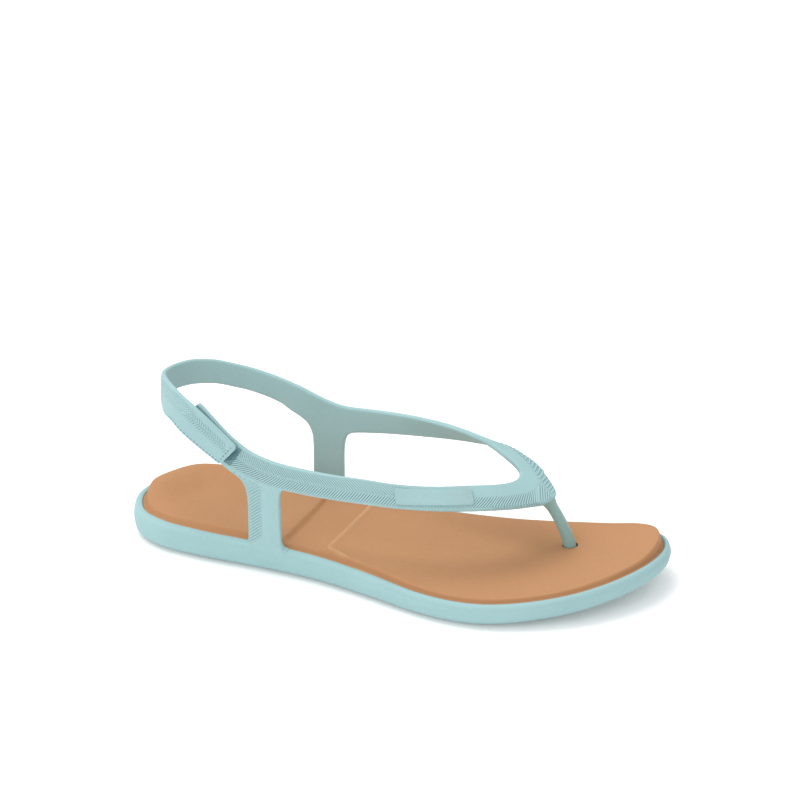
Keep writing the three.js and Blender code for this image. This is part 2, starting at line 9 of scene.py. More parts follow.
import bmesh
import bpy
import numpy as np
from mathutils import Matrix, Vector

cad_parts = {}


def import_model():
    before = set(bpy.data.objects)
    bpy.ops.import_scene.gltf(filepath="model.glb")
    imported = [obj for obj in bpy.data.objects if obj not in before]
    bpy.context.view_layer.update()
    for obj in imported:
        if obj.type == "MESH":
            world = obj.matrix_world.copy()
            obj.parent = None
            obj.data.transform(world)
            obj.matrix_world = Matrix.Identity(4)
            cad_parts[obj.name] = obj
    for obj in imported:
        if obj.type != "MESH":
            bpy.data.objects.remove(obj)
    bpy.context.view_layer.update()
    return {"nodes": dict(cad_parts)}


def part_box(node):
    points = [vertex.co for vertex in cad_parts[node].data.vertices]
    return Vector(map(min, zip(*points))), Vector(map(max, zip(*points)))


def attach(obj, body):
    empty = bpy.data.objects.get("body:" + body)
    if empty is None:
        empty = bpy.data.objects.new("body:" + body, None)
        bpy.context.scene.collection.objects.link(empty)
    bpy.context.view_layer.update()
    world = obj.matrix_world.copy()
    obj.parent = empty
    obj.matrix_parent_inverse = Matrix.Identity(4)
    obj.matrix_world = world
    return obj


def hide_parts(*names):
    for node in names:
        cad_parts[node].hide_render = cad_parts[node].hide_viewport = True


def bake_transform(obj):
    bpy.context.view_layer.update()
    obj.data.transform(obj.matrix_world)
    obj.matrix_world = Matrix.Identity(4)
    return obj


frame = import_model()

MM = 0.001

# ---- tables repeated from the CAD
# The two ridge tables are shaped a little differently here than in the CAD.
OUTLINE = [
    (-128.4, -4), (-126.2, -15.8), (-118, -28.3), (-104, -35.2), (-84, -37), (-47, -35.8), (-20, -36.6),
    (8, -41.2), (30, -45.8), (48, -47.4), (66, -45.2), (86, -36.2), (104.6, -22.4), (118.4, -5.4),
    (126.2, 11), (128.2, 24.5), (126, 35.5), (119.8, 44.8), (108.5, 50.5), (92, 51.6), (72, 49.4),
    (46, 44.2), (16, 38.6), (-15, 35.6), (-47, 35.1), (-80, 34.8), (-103, 32), (-115.4, 24.6),
    (-124.2, 10.6),
]
SPINE = [(-96, -3.5), (-47, -0.5), (0, 0), (40, -2), (70, 4), (97, 16)]
HEEL_FAN_X, TOE_FAN_X = -100, 99
RIM_HEIGHT = [(-129, 14), (-60, 13.2), (0, 12), (45, 11), (80, 12.2), (105, 15), (128, 19)]
RIM_WIDTH = [(-129, 3.2), (-118, 3.7), (-104, 4.3), (-60, 4), (0, 3.6), (45, 2.6), (90, 2.6), (128, 2.4)]
SOLE_BASE = [(-129, 1.2), (-112, 0), (-60, 0), (0, 0), (45, 0), (80, 1.6), (105, 4.6), (128, 8.6)]
RIDGE_OUTER = [(-129, 1.4), (-90, 1.6), (-66, 2), (0, 2), (40, 1.6), (70, 1.4), (100, 1.6), (128, 2.8)]
RIDGE_INNER = [
    (-129, 5.7), (-112, 6.2), (-92, 5.2), (-66, 3.2), (40, 2.8), (90, 3.8), (115, 5), (128, 5.4),
]
RIDGE_TURN = (-20, 6)
DISH_RISE = [(-129, 1), (-60, 1.4), (0, 2.2), (128, 1.2)]
BAND = [
    [(-80.5, -33, 79.6), (-88.5, -32.2, 66.8)], [(-73, -33.9, 73.6), (-81, -33.1, 61)],
    [(-64.5, -34.4, 66.6), (-72.5, -34, 55)], [(-56, -34.5, 61.2), (-63, -34.4, 50)],
    [(-49, -34.5, 58.6), (-53, -34.5, 46.3)], [(-40, -34.5, 56.9), (-42, -34.7, 44.3)],
    [(-28, -34.6, 56.3), (-28, -35.2, 44)], [(-14, -33.5, 55.8), (-13, -35.4, 44.2)],
    [(0, -30.5, 55), (3, -34.7, 44.6)], [(15.5, -26, 53.3), (19, -31.9, 44.3)],
    [(30, -18.5, 51.5), (35, -27, 44.3)], [(43, -8.5, 50), (49, -19, 43.5)],
    [(51.5, 0.5, 48), (62, -8, 42)], [(56.3, 8.5, 46.4), (69.5, 2.3, 40.2)],
    [(58.2, 14.5, 46.3), (74.4, 10.2, 39.1)], [(57.8, 18.6, 47.6), (76.2, 17.2, 39.8)],
    [(54.8, 20.8, 49.6), (73.6, 21.4, 41.6)], [(50.3, 22.3, 51.8), (65.4, 27.6, 45.7)],
    [(44, 24.2, 54.5), (56.4, 31.8, 48.6)], [(36.5, 26.6, 56.7), (46.6, 35, 50.5)],
    [(28, 28.8, 57.9), (35, 36.6, 50.8)], [(16, 31.3, 58.8), (19, 37, 49.9)],
    [(1.5, 33, 59.2), (3, 36.3, 48.7)], [(-12, 33.7, 59), (-14, 35.2, 47.3)],
    [(-25, 33.9, 58.3), (-27, 34.5, 45.7)], [(-38, 33.9, 57.7), (-39, 33.9, 44.2)],
    [(-49, 33.7, 59.8), (-51, 33.8, 46.5)], [(-61.3, 33, 64.3), (-62.5, 33, 50.7)],
    [(-74, 31.4, 68.4), (-75, 31.4, 56)], [(-85, 28.6, 71.6), (-85.5, 28.4, 59.6)],
    [(-93, 24.8, 74.1), (-93, 24.8, 61.8)],
]
HEEL_STRAP = [
    [(-100, 20.3, 76.5), (-100, 20.3, 64)], [(-107, 13, 78.4), (-107, 12.7, 65.6)],
    [(-110.8, 5, 79.2), (-111.1, 5, 66.3)], [(-111.9, -4, 80), (-112.6, -4, 66.8)],
    [(-109, -14, 82), (-110.3, -13, 67)], [(-102, -24, 83.7), (-106, -20.5, 67)],
    [(-94, -31, 83.4), (-101, -27.5, 67.2)], [(-87.6, -35.1, 82), (-95, -32.5, 67.2)],
]
FLAP = [
    [(-81, -37.8, 79.9), (-88.3, -36.9, 65)], [(-74, -38.9, 75.8), (-81, -38.3, 61)],
    [(-66, -39.3, 70), (-73.4, -39.2, 57)], [(-57.7, -39.4, 63.4), (-66.8, -39.4, 53.2)],
]
POST_ROUTE = [
    (83, 23, 3.2), (82.6, 22.9, 9), (81.4, 22.2, 16), (77.9, 20.4, 26), (73, 17.6, 36.5), (71.3, 16.6, 40.2),
]
ANCHOR, ANCHOR_TILT, WASHER_MIDDLE = (83, 23, 3), -0.11, 2.1
TREAD_INSET, TREAD_THICKNESS, GAP = 8, 2.2, 0.3
BOTTOM_ROUND, SHELL_LIFT, BELLY, TRAY_DEPTH = 4.2, 0.5, 0.7, 5
BAND_HALF, HEEL_HALF = 1.3, 1.1  # half thicknesses of the straps

# The part was centred on its footprint when it was packed: the washer says by how much.
low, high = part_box("toe_post_washer")
washer = (low + high) / 2 / MM
ORIGIN = np.array([washer.x - ANCHOR[0] - math.sin(ANCHOR_TILT) * WASHER_MIDDLE, washer.y - ANCHOR[1], 0])


# ---- curves and tables
def smooth(t):
    t = np.clip(t, 0, 1)
    return t * t * (3 - 2 * t)


def hermite(t, a, slope_a, b, slope_b):
    """Cubic from a to b with the given slopes at its ends, at the shares t."""
    start, end = 2 * t**3 - 3 * t**2 + 1, 3 * t**2 - 2 * t**3
    return start * a + (t**3 - 2 * t**2 + t) * slope_a + end * b + (t**3 - t**2) * slope_b


def along(table, x):
    """Monotone cubic through a table of (x, value), at an array of x."""
    xs, ys = np.array(table, float).T
    chord = np.diff(ys) / np.diff(xs)
    slope = np.empty_like(ys)
    slope[0], slope[-1] = chord[0], chord[-1]
    slope[1:-1] = np.where(chord[1:] * chord[:-1] > 0, (chord[1:] + chord[:-1]) / 2, 0)
    i = np.clip(np.searchsorted(xs, x) - 1, 0, len(xs) - 2)
    h = xs[i + 1] - xs[i]
    return hermite(np.clip((x - xs[i]) / h, 0, 1), ys[i], h * slope[i], ys[i + 1], h * slope[i + 1])


def curve(points, closed=False, centripetal=True):
    """Catmull-Rom through the points, as a function of an array of shares from 0 to 1."""
    p = np.array(points, float)
    if closed:
        p = np.vstack([p[-1], p, p[0], p[1]])
    else:
        p = np.vstack([2 * p[0] - p[1], p, 2 * p[-1] - p[-2]])
    p0, p1, p2, p3 = p[:-3], p[1:-2], p[2:-1], p[3:]
    if centripetal:
        d0, d1, d2 = (
            np.sqrt(np.linalg.norm(b - a, axis=1))[:, None] for a, b in ((p0, p1), (p1, p2), (p2, p3)))
        m1 = ((p1 - p0) / d0 - (p2 - p0) / (d0 + d1) + (p2 - p1) / d1) * d1
        m2 = ((p2 - p1) / d1 - (p3 - p1) / (d1 + d2) + (p3 - p2) / d2) * d1
    else:
        m1, m2 = (p2 - p0) / 2, (p3 - p1) / 2

    def at(share):
        u = np.clip(share, 0, 1) * len(p1)
        i = np.minimum(u.astype(int), len(p1) - 1)
        return hermite((u - i)[:, None], p1[i], m1[i], p2[i], m2[i])

    return at


# ---- mesh making
MERGE_DISTANCE, SHORTEST_EDGE = 2e-6, 1e-7  # metres


def link(obj):
    bpy.context.scene.collection.objects.link(obj)
    return obj


def applied(obj):
    """The object's mesh with its modifiers applied."""
    graph = bpy.context.evaluated_depsgraph_get()
    return bpy.data.meshes.new_from_object(obj.evaluated_get(graph))


# zero painted groove shade and zero painted rib-top highlight (edge)
def no_relief_shading(vertices):
    return {"groove_shade": np.zeros(len(vertices)), "edge": np.zeros(len(vertices))}


def new_object(name, vertices, faces, material, attributes=None, merge=False, sharp=None):
    """Smooth-shaded object from points in part millimetres. attributes: name -> value per vertex."""
    mesh = bpy.data.meshes.new(name)
    mesh.from_pydata(((np.asarray(vertices) + ORIGIN) * MM).tolist(), [], faces)
    for key, values in (attributes or {}).items():
        layer = mesh.attributes.new(key, "FLOAT", "POINT")
        layer.data.foreach_set("value", np.asarray(values, np.float32).ravel())
    bm = bmesh.new()
    bm.from_mesh(mesh)
    if merge:
        bmesh.ops.remove_doubles(bm, verts=bm.verts, dist=MERGE_DISTANCE)
        bmesh.ops.dissolve_degenerate(bm, dist=SHORTEST_EDGE, edges=bm.edges)
    bmesh.ops.recalc_face_normals(bm, faces=bm.faces)
    for face in bm.faces:
        face.smooth = True
    if sharp is not None:
        for edge in bm.edges:
            if len(edge.link_faces) == 2 and edge.calc_face_angle(0) > sharp:
                edge.smooth = False
    bm.to_mesh(mesh)
    bm.free()
    mesh.materials.append(material)
    return link(bpy.data.objects.new(name, mesh))


def grid_faces(rows, columns, wrap_rows=False, wrap_columns=True, first=0):
    """Quads of a rows x columns grid of vertices numbered row by row."""
    faces = []
    for r in range(rows if wrap_rows else rows - 1):
        a, b = first + r * columns, first + ((r + 1) % rows) * columns
        for c in range(columns if wrap_columns else columns - 1):
            d = (c + 1) % columns
            faces.append((a + c, a + d, b + d, b + c))
    return faces


def tube_faces(rows, columns, first=0):
    """A closed tube of rings with a face at each end."""
    faces = grid_faces(rows, columns, first=first)
    faces.append(tuple(range(first + columns - 1, first - 1, -1)))
    last = first + (rows - 1) * columns
    faces.append(tuple(range(last, last + columns)))
    return faces


def capped_faces(rows, columns):
    """A grid of rings with a face on the first and on the last ring."""
    caps = [tuple(range(columns)), tuple(range((rows - 1) * columns, rows * columns))]
    return grid_faces(rows, columns) + caps


def joined(parts):
    """One vertex list and face list from several (vertices, faces)."""
    vertices, faces, count = [], [], 0
    for v, f in parts:
        vertices.append(np.asarray(v, float))
        faces.extend(tuple(i + count for i in face) for face in f)
        count += len(v)
    return np.vstack(vertices), faces


# ---- materials
def srgb(r, g, b):
    def linear(c):
        c /= 255
        return c / 12.92 if c <= 0.04045 else ((c + 0.055) / 1.055) ** 2.4

    return (linear(r), linear(g), linear(b), 1)


class Material:
    """A Principled material with a few node helpers."""

    def __init__(self, name, roughness, specular=0.5, **settings):
        self.material = bpy.data.materials.new(name)
        self.material.use_nodes = True
        self.nodes = self.material.node_tree.nodes
        self.links = self.material.node_tree.links
        self.shader = self.nodes["Principled BSDF"]
        self.shader.inputs["Roughness"].default_value = roughness
        self.shader.inputs["Specular IOR Level"].default_value = specular
        for key, value in settings.items():
            self.shader.inputs[key.replace("_", " ")].default_value = value
        self.place = self.nodes.new("ShaderNodeTexCoord").outputs["Object"]

    def noise(self, size_mm, detail=2.0, rough=0.5):
        node = self.nodes.new("ShaderNodeTexNoise")
        node.inputs["Scale"].default_value = 1 / (size_mm * MM)
        node.inputs["Detail"].default_value = detail
        node.inputs["Roughness"].default_value = rough
        self.links.new(self.place, node.inputs["Vector"])
        return node.outputs["Fac"]

    def cells(self, size_mm):
        node = self.nodes.new("ShaderNodeTexVoronoi")
        node.inputs["Scale"].default_value = 1 / (size_mm * MM)
        self.links.new(self.place, node.inputs["Vector"])
        return node.outputs["Distance"]

    def attribute(self, name):
        node = self.nodes.new("ShaderNodeAttribute")
        node.attribute_name = name
        return node.outputs["Fac"]

    def ramp(self, source, low, high, start=0.0, end=1.0):
        """Maps source from start..end to low..high."""
        node = self.nodes.new("ShaderNodeMapRange")
        for key, value in (("From Min", start), ("From Max", end), ("To Min", low), ("To Max", high)):
            node.inputs[key].default_value = value
        self.links.new(source, node.inputs["Value"])
        return node.outputs["Result"]

    def mix(self, factor, first, second, blend="MIX"):
        """first and second are colours or sockets."""
        node = self.nodes.new("ShaderNodeMix")
        node.data_type = "RGBA"
        node.blend_type = blend
        for socket, value in ((node.inputs[0], factor), (node.inputs[6], first), (node.inputs[7], second)):
            if isinstance(value, bpy.types.NodeSocket):
                self.links.new(value, socket)
            else:
                socket.default_value = value
        return node.outputs[2]

    def colour(self, socket):
        self.links.new(socket, self.shader.inputs["Base Color"])

    def roughness(self, source, low, high):
        self.links.new(self.ramp(source, low, high), self.shader.inputs["Roughness"])

    def bump(self, layers):
        """layers: (height socket, distance in mm). They are chained."""
        normal = None
        for height, distance in layers:
            node = self.nodes.new("ShaderNodeBump")
            node.inputs["Strength"].default_value = 1.0
            node.inputs["Distance"].default_value = distance * MM
            self.links.new(height, node.inputs["Height"])
            if normal is not None:
                self.links.new(normal, node.inputs["Normal"])
            normal = node.outputs["Normal"]
        self.links.new(normal, self.shader.inputs["Normal"])


def moulded(name, base, dark, light, roughness, specular, grain=0.35):
    """Moulded foam or elastomer: mottled colour, painted groove shade and painted rib-top highlight."""
    m = Material(name, roughness, specular)
    tone = m.mix(m.ramp(m.noise(28, 3), 0, 1, 0.3, 0.7), dark, base)
    tone = m.mix(m.ramp(m.noise(1.1, 2), 0, 0.22, 0.45, 0.8), tone, light)
    # painted shade: darker in the grooves and on the rib flanks, where shade falls
    tone = m.mix(m.ramp(m.attribute("groove_shade"), 0, 0.85), tone, dark_of(dark))
    # painted highlight: lighter on the rib tops (the edge attribute), where the light falls
    tone = m.mix(m.ramp(m.attribute("edge"), 0, 0.45), tone, light)
    m.colour(tone)
    m.roughness(m.noise(3.2, 2), roughness - 0.06, roughness + 0.08)
    m.bump([(m.noise(0.42, 2, 0.6), 0.018 * grain / 0.35), (m.cells(0.7), 0.012 * grain / 0.35)])
    return m.material


# colour of the painted shade in the grooves
def dark_of(colour):
    return tuple(c * 0.6 for c in colour[:3]) + (1,)


AQUA, AQUA_DARK, AQUA_LIGHT = srgb(154, 188, 190), srgb(148, 183, 185), srgb(171, 203, 205)
strap_material = moulded("strap_elastomer", AQUA, AQUA_DARK, AQUA_LIGHT, 0.58, 0.35)
sole_material = moulded("sole_foam", AQUA, AQUA_DARK, AQUA_LIGHT, 0.66, 0.3, 0.5)
badge_material = moulded("badge_elastomer", srgb(146, 173, 174), AQUA_DARK, AQUA_LIGHT, 0.48, 0.4, 0.2)
post_material = moulded(
    "post_elastomer", srgb(143, 182, 180), srgb(134, 172, 170), srgb(158, 196, 194), 0.42, 0.45, 0.2)
tread_material = moulded(
    "outsole_rubber", srgb(138, 172, 175), srgb(130, 164, 168), srgb(150, 182, 185), 0.74, 0.3, 0.6)


def foam_material():
    m = Material("footbed_foam", 0.7, 0.3)
    tone = m.mix(m.ramp(m.noise(34, 3), 0, 1, 0.3, 0.7), srgb(190, 142, 101), srgb(199, 151, 109))
    tone = m.mix(m.ramp(m.noise(0.8, 2), 0, 0.35, 0.5, 0.78), tone, srgb(210, 165, 124))
    tone = m.mix(m.ramp(m.noise(0.55, 1), 0, 0.3, 0.28, 0.5), srgb(174, 126, 86), tone)
    # painted highlight along the forefoot pad's front crest, where the light catches it
    tone = m.mix(m.ramp(m.attribute("crest_highlight"), 0, 0.3), tone, srgb(226, 184, 144))
    # painted shade on the outward-facing bevel and along the recess's rear step, which face away from the
    # light
    tone = m.mix(m.ramp(m.attribute("bevel"), 0, 0.45), tone, srgb(164, 113, 74))
    m.colour(tone)
    m.roughness(m.noise(2.4, 2), 0.62, 0.8)
    m.bump([(m.noise(0.5, 2, 0.6), 0.03), (m.cells(0.8), 0.02)])
    return m.material


def tape_material(name, base, dark, light, roughness):
    m = Material(name, roughness, 0.2, Sheen_Weight=0.35, Sheen_Roughness=0.5)
    tone = m.mix(m.ramp(m.noise(0.5, 3), 0, 1, 0.35, 0.65), dark, base)
    m.colour(m.mix(m.ramp(m.noise(0.25, 1), 0, 0.6, 0.55, 0.75), tone, light))
    m.roughness(m.noise(0.6), roughness - 0.1, roughness + 0.1)
    m.bump([(m.noise(0.3, 2), 0.08)])
    return m.material


hook_material = tape_material("hook_tape", srgb(106, 150, 155), srgb(74, 116, 124), srgb(150, 188, 192), 0.7)
loop_material = tape_material("loop_tape", srgb(116, 156, 160), srgb(98, 138, 143), srgb(146, 182, 185), 0.85)
thread_material = tape_material("thread", srgb(128, 162, 166), srgb(108, 144, 150), srgb(150, 182, 186), 0.6)
footbed_material = foam_material()


def washer_material():
    m = Material("washer_plastic", 0.45, 0.5)
    m.colour(m.mix(m.ramp(m.noise(4, 2), 0, 1), srgb(214, 217, 212), srgb(226, 228, 224)))
    m.roughness(m.noise(1.5), 0.38, 0.52)
    m.bump([(m.noise(0.6), 0.01)])
    return m.material


# ---- sole
SIDE_COLUMNS, FAN_COLUMNS = 260, 70
SPREAD, SPARSE_AT = 0.035, 0.36  # the columns lie furthest apart at this share of the length
outline = curve(OUTLINE, closed=True)
spine = curve(SPINE)


def foot_rays():
    """Rim points, inward directions and spine points of the columns round the sole."""
    t = np.linspace(0, 1, 6001)
    p = outline(t)
    toe, heel = np.argmax(p[:, 0]), np.argmin(p[:, 0])
    if heel > toe:
        heel = 0
    outer_t, outer_x = t[heel : toe + 1], p[heel : toe + 1, 0]
    inner_t, inner_x = t[toe:], p[toe:, 0]
    share = np.linspace(0, 1, SIDE_COLUMNS)
    share = share + SPREAD * np.sin(2 * np.pi * (share - SPARSE_AT)) + SPREAD * np.sin(2 * np.pi * SPARSE_AT)
    share = (share - share[0]) / (share[-1] - share[0])
    x = HEEL_FAN_X + share * (TOE_FAN_X - HEEL_FAN_X)
    outer = np.interp(x, outer_x, outer_t)
    inner = np.interp(-x[::-1], -inner_x, inner_t)
    toe_fan = np.linspace(outer[-1], inner[0], FAN_COLUMNS + 2)[1:-1]
    heel_fan = np.linspace(inner[-1], outer[0] + 1, FAN_COLUMNS + 2)[1:-1]
    ts = np.concatenate([outer, toe_fan, inner, heel_fan]) % 1
    cores = np.concatenate([share, np.ones(FAN_COLUMNS), share[::-1], np.zeros(FAN_COLUMNS)])
    step = 1e-4
    tangent = outline((ts + step) % 1) - outline((ts - step) % 1)
    tangent /= np.linalg.norm(tangent, axis=1)[:, None]
    return outline(ts), np.stack([-tangent[:, 1], tangent[:, 0]], 1), spine(cores)


RIM, INWARD, CORE = foot_rays()


def ring(inset, pull, height):
    """One ring of the sole: x, y from the rim inwards, then towards the spine, and z from height(x, y)."""
    depth = inset(RIM[:, 0]) if callable(inset) else inset
    p = RIM + INWARD * np.reshape(depth * np.ones(len(RIM)), (-1, 1))
    p = p + (CORE - p) * pull
    return np.column_stack([p, height(p[:, 0], p[:, 1])])


def rim_top(x, y=None):
    return along(RIM_HEIGHT, x)


def rim_width(x):
    return along(RIM_WIDTH, x)


def tread_level(x, y=None):
    return along(SOLE_BASE, x)


def tray_floor(x, y=None):
    return rim_top(x) - TRAY_DEPTH


def level(base, lift):
    return lambda x, y: base(x, y) + lift


RIM_ROUND, RIM_INNER = 2.4, 0.9  # rounding of the rim's outer and inner edge
RIM_EXTRA = 0.25
CENTRE = 0.98  # pull of the innermost ring, just short of the spine


def shell_base(x, y=None):
    return tread_level(x) + SHELL_LIFT


def sole_wall(share):
    """Inset and height function of the side wall, from the underside (0) to the rim's outer round (1)."""
    def height(x, y):
        return shell_base(x) + BOTTOM_ROUND + share * (rim_top(x) - RIM_ROUND - shell_base(x) - BOTTOM_ROUND)
    bulge = BELLY * math.sin(math.pi * min(1, share * 0.75 + 0.18))
    return -bulge, height


def make_sole():
    rings = [ring(TREAD_INSET, pull, level(tread_level, TREAD_THICKNESS + GAP)) for pull in (CENTRE, 0.5, 0)]
    rings += [
        ring(TREAD_INSET, 0, level(shell_base, 0.3)),
        ring(TREAD_INSET - 0.1, 0, level(shell_base, 0.1)),
        ring(TREAD_INSET - 0.4, 0, shell_base),
    ]
    start = sole_wall(0)[0]
    for k in range(8):
        turn = k / 8 * math.pi / 2
        inset = start + (BOTTOM_ROUND - start) * (1 - math.sin(turn))
        rings.append(ring(inset, 0, level(shell_base, BOTTOM_ROUND * (1 - math.cos(turn)))))
    for k in range(9):
        inset, height = sole_wall(k / 8)
        rings.append(ring(inset, 0, height))
    edge = sole_wall(1)[0]
    for k in range(1, 11):
        turn = k / 10 * math.pi / 2
        inset = edge + RIM_ROUND * (1 - math.cos(turn))
        rings.append(ring(inset, 0, level(rim_top, -RIM_ROUND * (1 - math.sin(turn)))))

    def inner(back):
        return lambda x: rim_width(x) + RIM_EXTRA - back

    for k in range(6):
        turn = k / 5 * math.pi / 2
        drop = level(rim_top, -RIM_INNER * (1 - math.cos(turn)) - 0.05)
        rings.append(ring(inner(RIM_INNER * (1 - math.sin(turn))), 0, drop))
    rings += [ring(inner(0), 0, level(rim_top, -2)), ring(inner(0), 0, tray_floor)]
    rings += [ring(rim_width, pull, tray_floor) for pull in (0.5, CENTRE)]
    v = np.vstack(rings)
    return new_object("sole", v, capped_faces(len(rings), len(rings[0])), sole_material, no_relief_shading(v))


# Footbed profile, by distance in from the border.
BORDER, BEVEL_END, DISH_END = 0.7, 4.6, 24
BEVEL_CUT = [
    (-129, 1.4), (-112, 1), (-90, 0), (-40, 0.4), (0, 1.3), (30, 2.4), (75, 2.4), (105, 2.2), (128, 2.2),
]
TURN_AT_TOE, TURN_AT_HEEL = 26, -10
BORDER_DROP = 0.5
BEVEL_ZONE = 5.6  # rings follow the rim up to here, and run to the spine from here
RECESS_DEPTH = 1.6
CROWN_HEIGHT, CROWN_WIDTH = 0.3, 3.2  # behind the recess
LIP_HEIGHT, LIP_WIDTH = 0.85, 1.4  # in front of it
HOLE_PLACE, HOLE_DEPTH, HOLE_SPREAD = (81.4, 22.2), 0.35, 42  # sinking round the toe post


def hill(x, centre, width):
    return np.exp(-(((x - centre) / width) ** 2))


def recess_edges(y):
    """Rear and front edge of the recessed cross band, as x over a y."""
    return -41.8 - 0.032 * y, -19.3 + 2.2 * np.maximum(0, -26 - y)


def bevel_end(x, y):
    """The bevel is narrow along the outer forefoot and round the toe and the heel, and wide elsewhere."""
    outer = 1 - smooth((y + 20) / 26)
    ends = np.maximum(smooth((x - 92) / 24), smooth((-100 - x) / 16))
    return BEVEL_END - np.maximum(outer, ends) * along(BEVEL_CUT, x)


def footbed_top(x, y, depth):
    """Top of the footbed above a point, depth millimetres in from its border."""
    shift = TURN_AT_TOE * smooth((x - 85) / 35) + TURN_AT_HEEL * smooth((-95 - x) / 30)
    turn = smooth((y - shift - RIDGE_TURN[0]) / (RIDGE_TURN[1] - RIDGE_TURN[0]))
    ridge = along(RIDGE_OUTER, x) * (1 - turn) + along(RIDGE_INNER, x) * turn
    dish = along(DISH_RISE, x)
    end = bevel_end(x, y)
    bevel = np.clip((depth - BORDER) / (end - BORDER), 0, 1)
    rise = -BORDER_DROP + (ridge + BORDER_DROP) * (0.35 * smooth(bevel) + 0.65 * np.sin(bevel * np.pi / 2))
    fall = smooth((depth - end - 0.6) / (DISH_END - end))
    rise = np.where(depth > end, dish + (ridge - dish) * (1 - fall), rise)
    heel_edge, fore_edge = recess_edges(y)
    across = smooth((x - heel_edge) / 1.1) * smooth((fore_edge - x) / 1.5)
    inside = smooth((depth - 1.6) / 2.4)
    crown = CROWN_HEIGHT * hill(x, heel_edge - 3.5, CROWN_WIDTH) * inside * (x < heel_edge + 2)
    lip = LIP_HEIGHT * hill(x, fore_edge + 1, LIP_WIDTH) * inside
    hole = HOLE_DEPTH * np.exp(-(((x - HOLE_PLACE[0]) ** 2 + (y - HOLE_PLACE[1]) ** 2) / HOLE_SPREAD))
    return rim_top(x) + rise - RECESS_DEPTH * across * inside + crown + lip - hole


def make_footbed():
    def side(x):
        return rim_width(x) + GAP

    rings, bevel_shades = [], []

    # bevel: share of painted shade for the ring, kept in the bevel attribute
    def add(points, bevel=0.0):
        rings.append(points)
        bevel_shades.append(np.zeros(len(points)) + bevel)

    for pull in (CENTRE, 0.5, 0):
        add(ring(side, pull, level(tray_floor, GAP)))
    add(ring(side, 0, level(rim_top, -BORDER_DROP - 0.4)))
    add(ring(lambda x: side(x) + 0.12, 0, level(rim_top, -BORDER_DROP - 0.12)))
    for depth in np.linspace(0.4, BEVEL_ZONE, 20):
        points = ring(lambda x: side(x) + depth, 0, lambda x, y: footbed_top(x, y, depth))
        end = bevel_end(points[:, 0], points[:, 1])
        # painted shade on the outer bevel band
        add(points, smooth((depth - 0.3) / 0.9) * (1 - smooth((depth - 0.55 * end) / (0.45 * end))))
    outer = RIM + INWARD * (side(RIM[:, 0])[:, None] + BEVEL_ZONE)
    span = np.linalg.norm(CORE - outer, axis=1)
    for pull in np.linspace(0, 1, 46)[1:]:
        p = outer + (CORE - outer) * pull
        z = footbed_top(p[:, 0], p[:, 1], BEVEL_ZONE + span * pull)
        # painted shade along the recess's rear step
        add(np.column_stack([p, z]), 0.9 * hill(p[:, 0], recess_edges(p[:, 1])[0] + 0.4, 0.9))
    v, bevel = np.vstack(rings), np.concatenate(bevel_shades)
    columns = len(rings[0])
    faces = grid_faces(len(rings), columns) + [tuple(range(columns))]
    # painted highlight along the forefoot pad's front crest
    spread = 1.3 + 1.2 * smooth((-25 - v[:, 1]) / 3)
    crest_highlight = hill(v[:, 0], recess_edges(v[:, 1])[1] + 0.6, spread) * (1 - bevel) * (v[:, 1] > -38)
    return new_object("footbed_pad", v, faces, footbed_material, {"bevel": bevel, "crest_highlight": crest_highlight}, merge=True)


def post_tube(radius, count=60, sides=40):
    """Tube along the toe post; radius is a function of height."""
    centre = curve(POST_ROUTE)(np.linspace(0, 1, count))
    forward = np.gradient(centre, axis=0)
    forward /= np.linalg.norm(forward, axis=1)[:, None]
    across = np.cross([0, 1, 0], forward)
    across /= np.linalg.norm(across, axis=1)[:, None]
    side = np.cross(forward, across)
    turn = np.linspace(0, 2 * np.pi, sides, endpoint=False)[None, :, None]
    r = np.array([radius(z) for z in centre[:, 2]])[:, None, None]
    points = centre[:, None] + r * (across[:, None] * np.cos(turn) + side[:, None] * np.sin(turn))
    return points.reshape(-1, 3), tube_faces(count, sides)


def anchor_disc(radius, low, high, rounding=0.0, sides=48):
    """Disc on the tilted axis of the anchor, between two heights over its middle."""
    turn = np.linspace(0, 2 * np.pi, sides, endpoint=False)
    profile = [(radius, low + rounding), (radius, high - rounding)]
    if rounding:
        profile = [(radius - rounding, low), *profile, (radius - rounding, high)]
    v = np.array([[(r * math.cos(a), r * math.sin(a), h) for a in turn] for r, h in profile]).reshape(-1, 3)
    c, t = math.cos(ANCHOR_TILT), math.sin(ANCHOR_TILT)
    v = np.column_stack([v[:, 0] * c + v[:, 2] * t, v[:, 1], -v[:, 0] * t + v[:, 2] * c]) + ANCHOR
    return v, tube_faces(len(profile), sides)


def cut(target, cutter, use_self=False):
    """target minus cutter, applied. use_self is for a target whose own parts overlap."""
    modifier = target.modifiers.new("cut", "BOOLEAN")
    modifier.operation, modifier.object, modifier.solver = "DIFFERENCE", cutter, "EXACT"
    modifier.use_self = use_self
    mesh = applied(target)
    target.modifiers.clear()
    target.data = mesh
    bpy.data.objects.remove(cutter)


def stand_in(piece, nodes, body=None):
    """The piece stands for CAD nodes, which are hidden; with a body, it is attached to that body."""
    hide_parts(*nodes)
    if body:
        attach(piece, body)


HEAD_RADIUS, HEAD_THICKNESS, POCKET_RADIUS, POCKET_TOP = 6, 1.3, 9.3, 2.9
POCKET_BOTTOM = -6  # well below the sole
POST_HOLE_RADIUS = 3.55


def anchor_pocket():
    v, f = anchor_disc(POCKET_RADIUS, POCKET_BOTTOM, POCKET_TOP)
    return new_object("pocket", v, f, footbed_material)


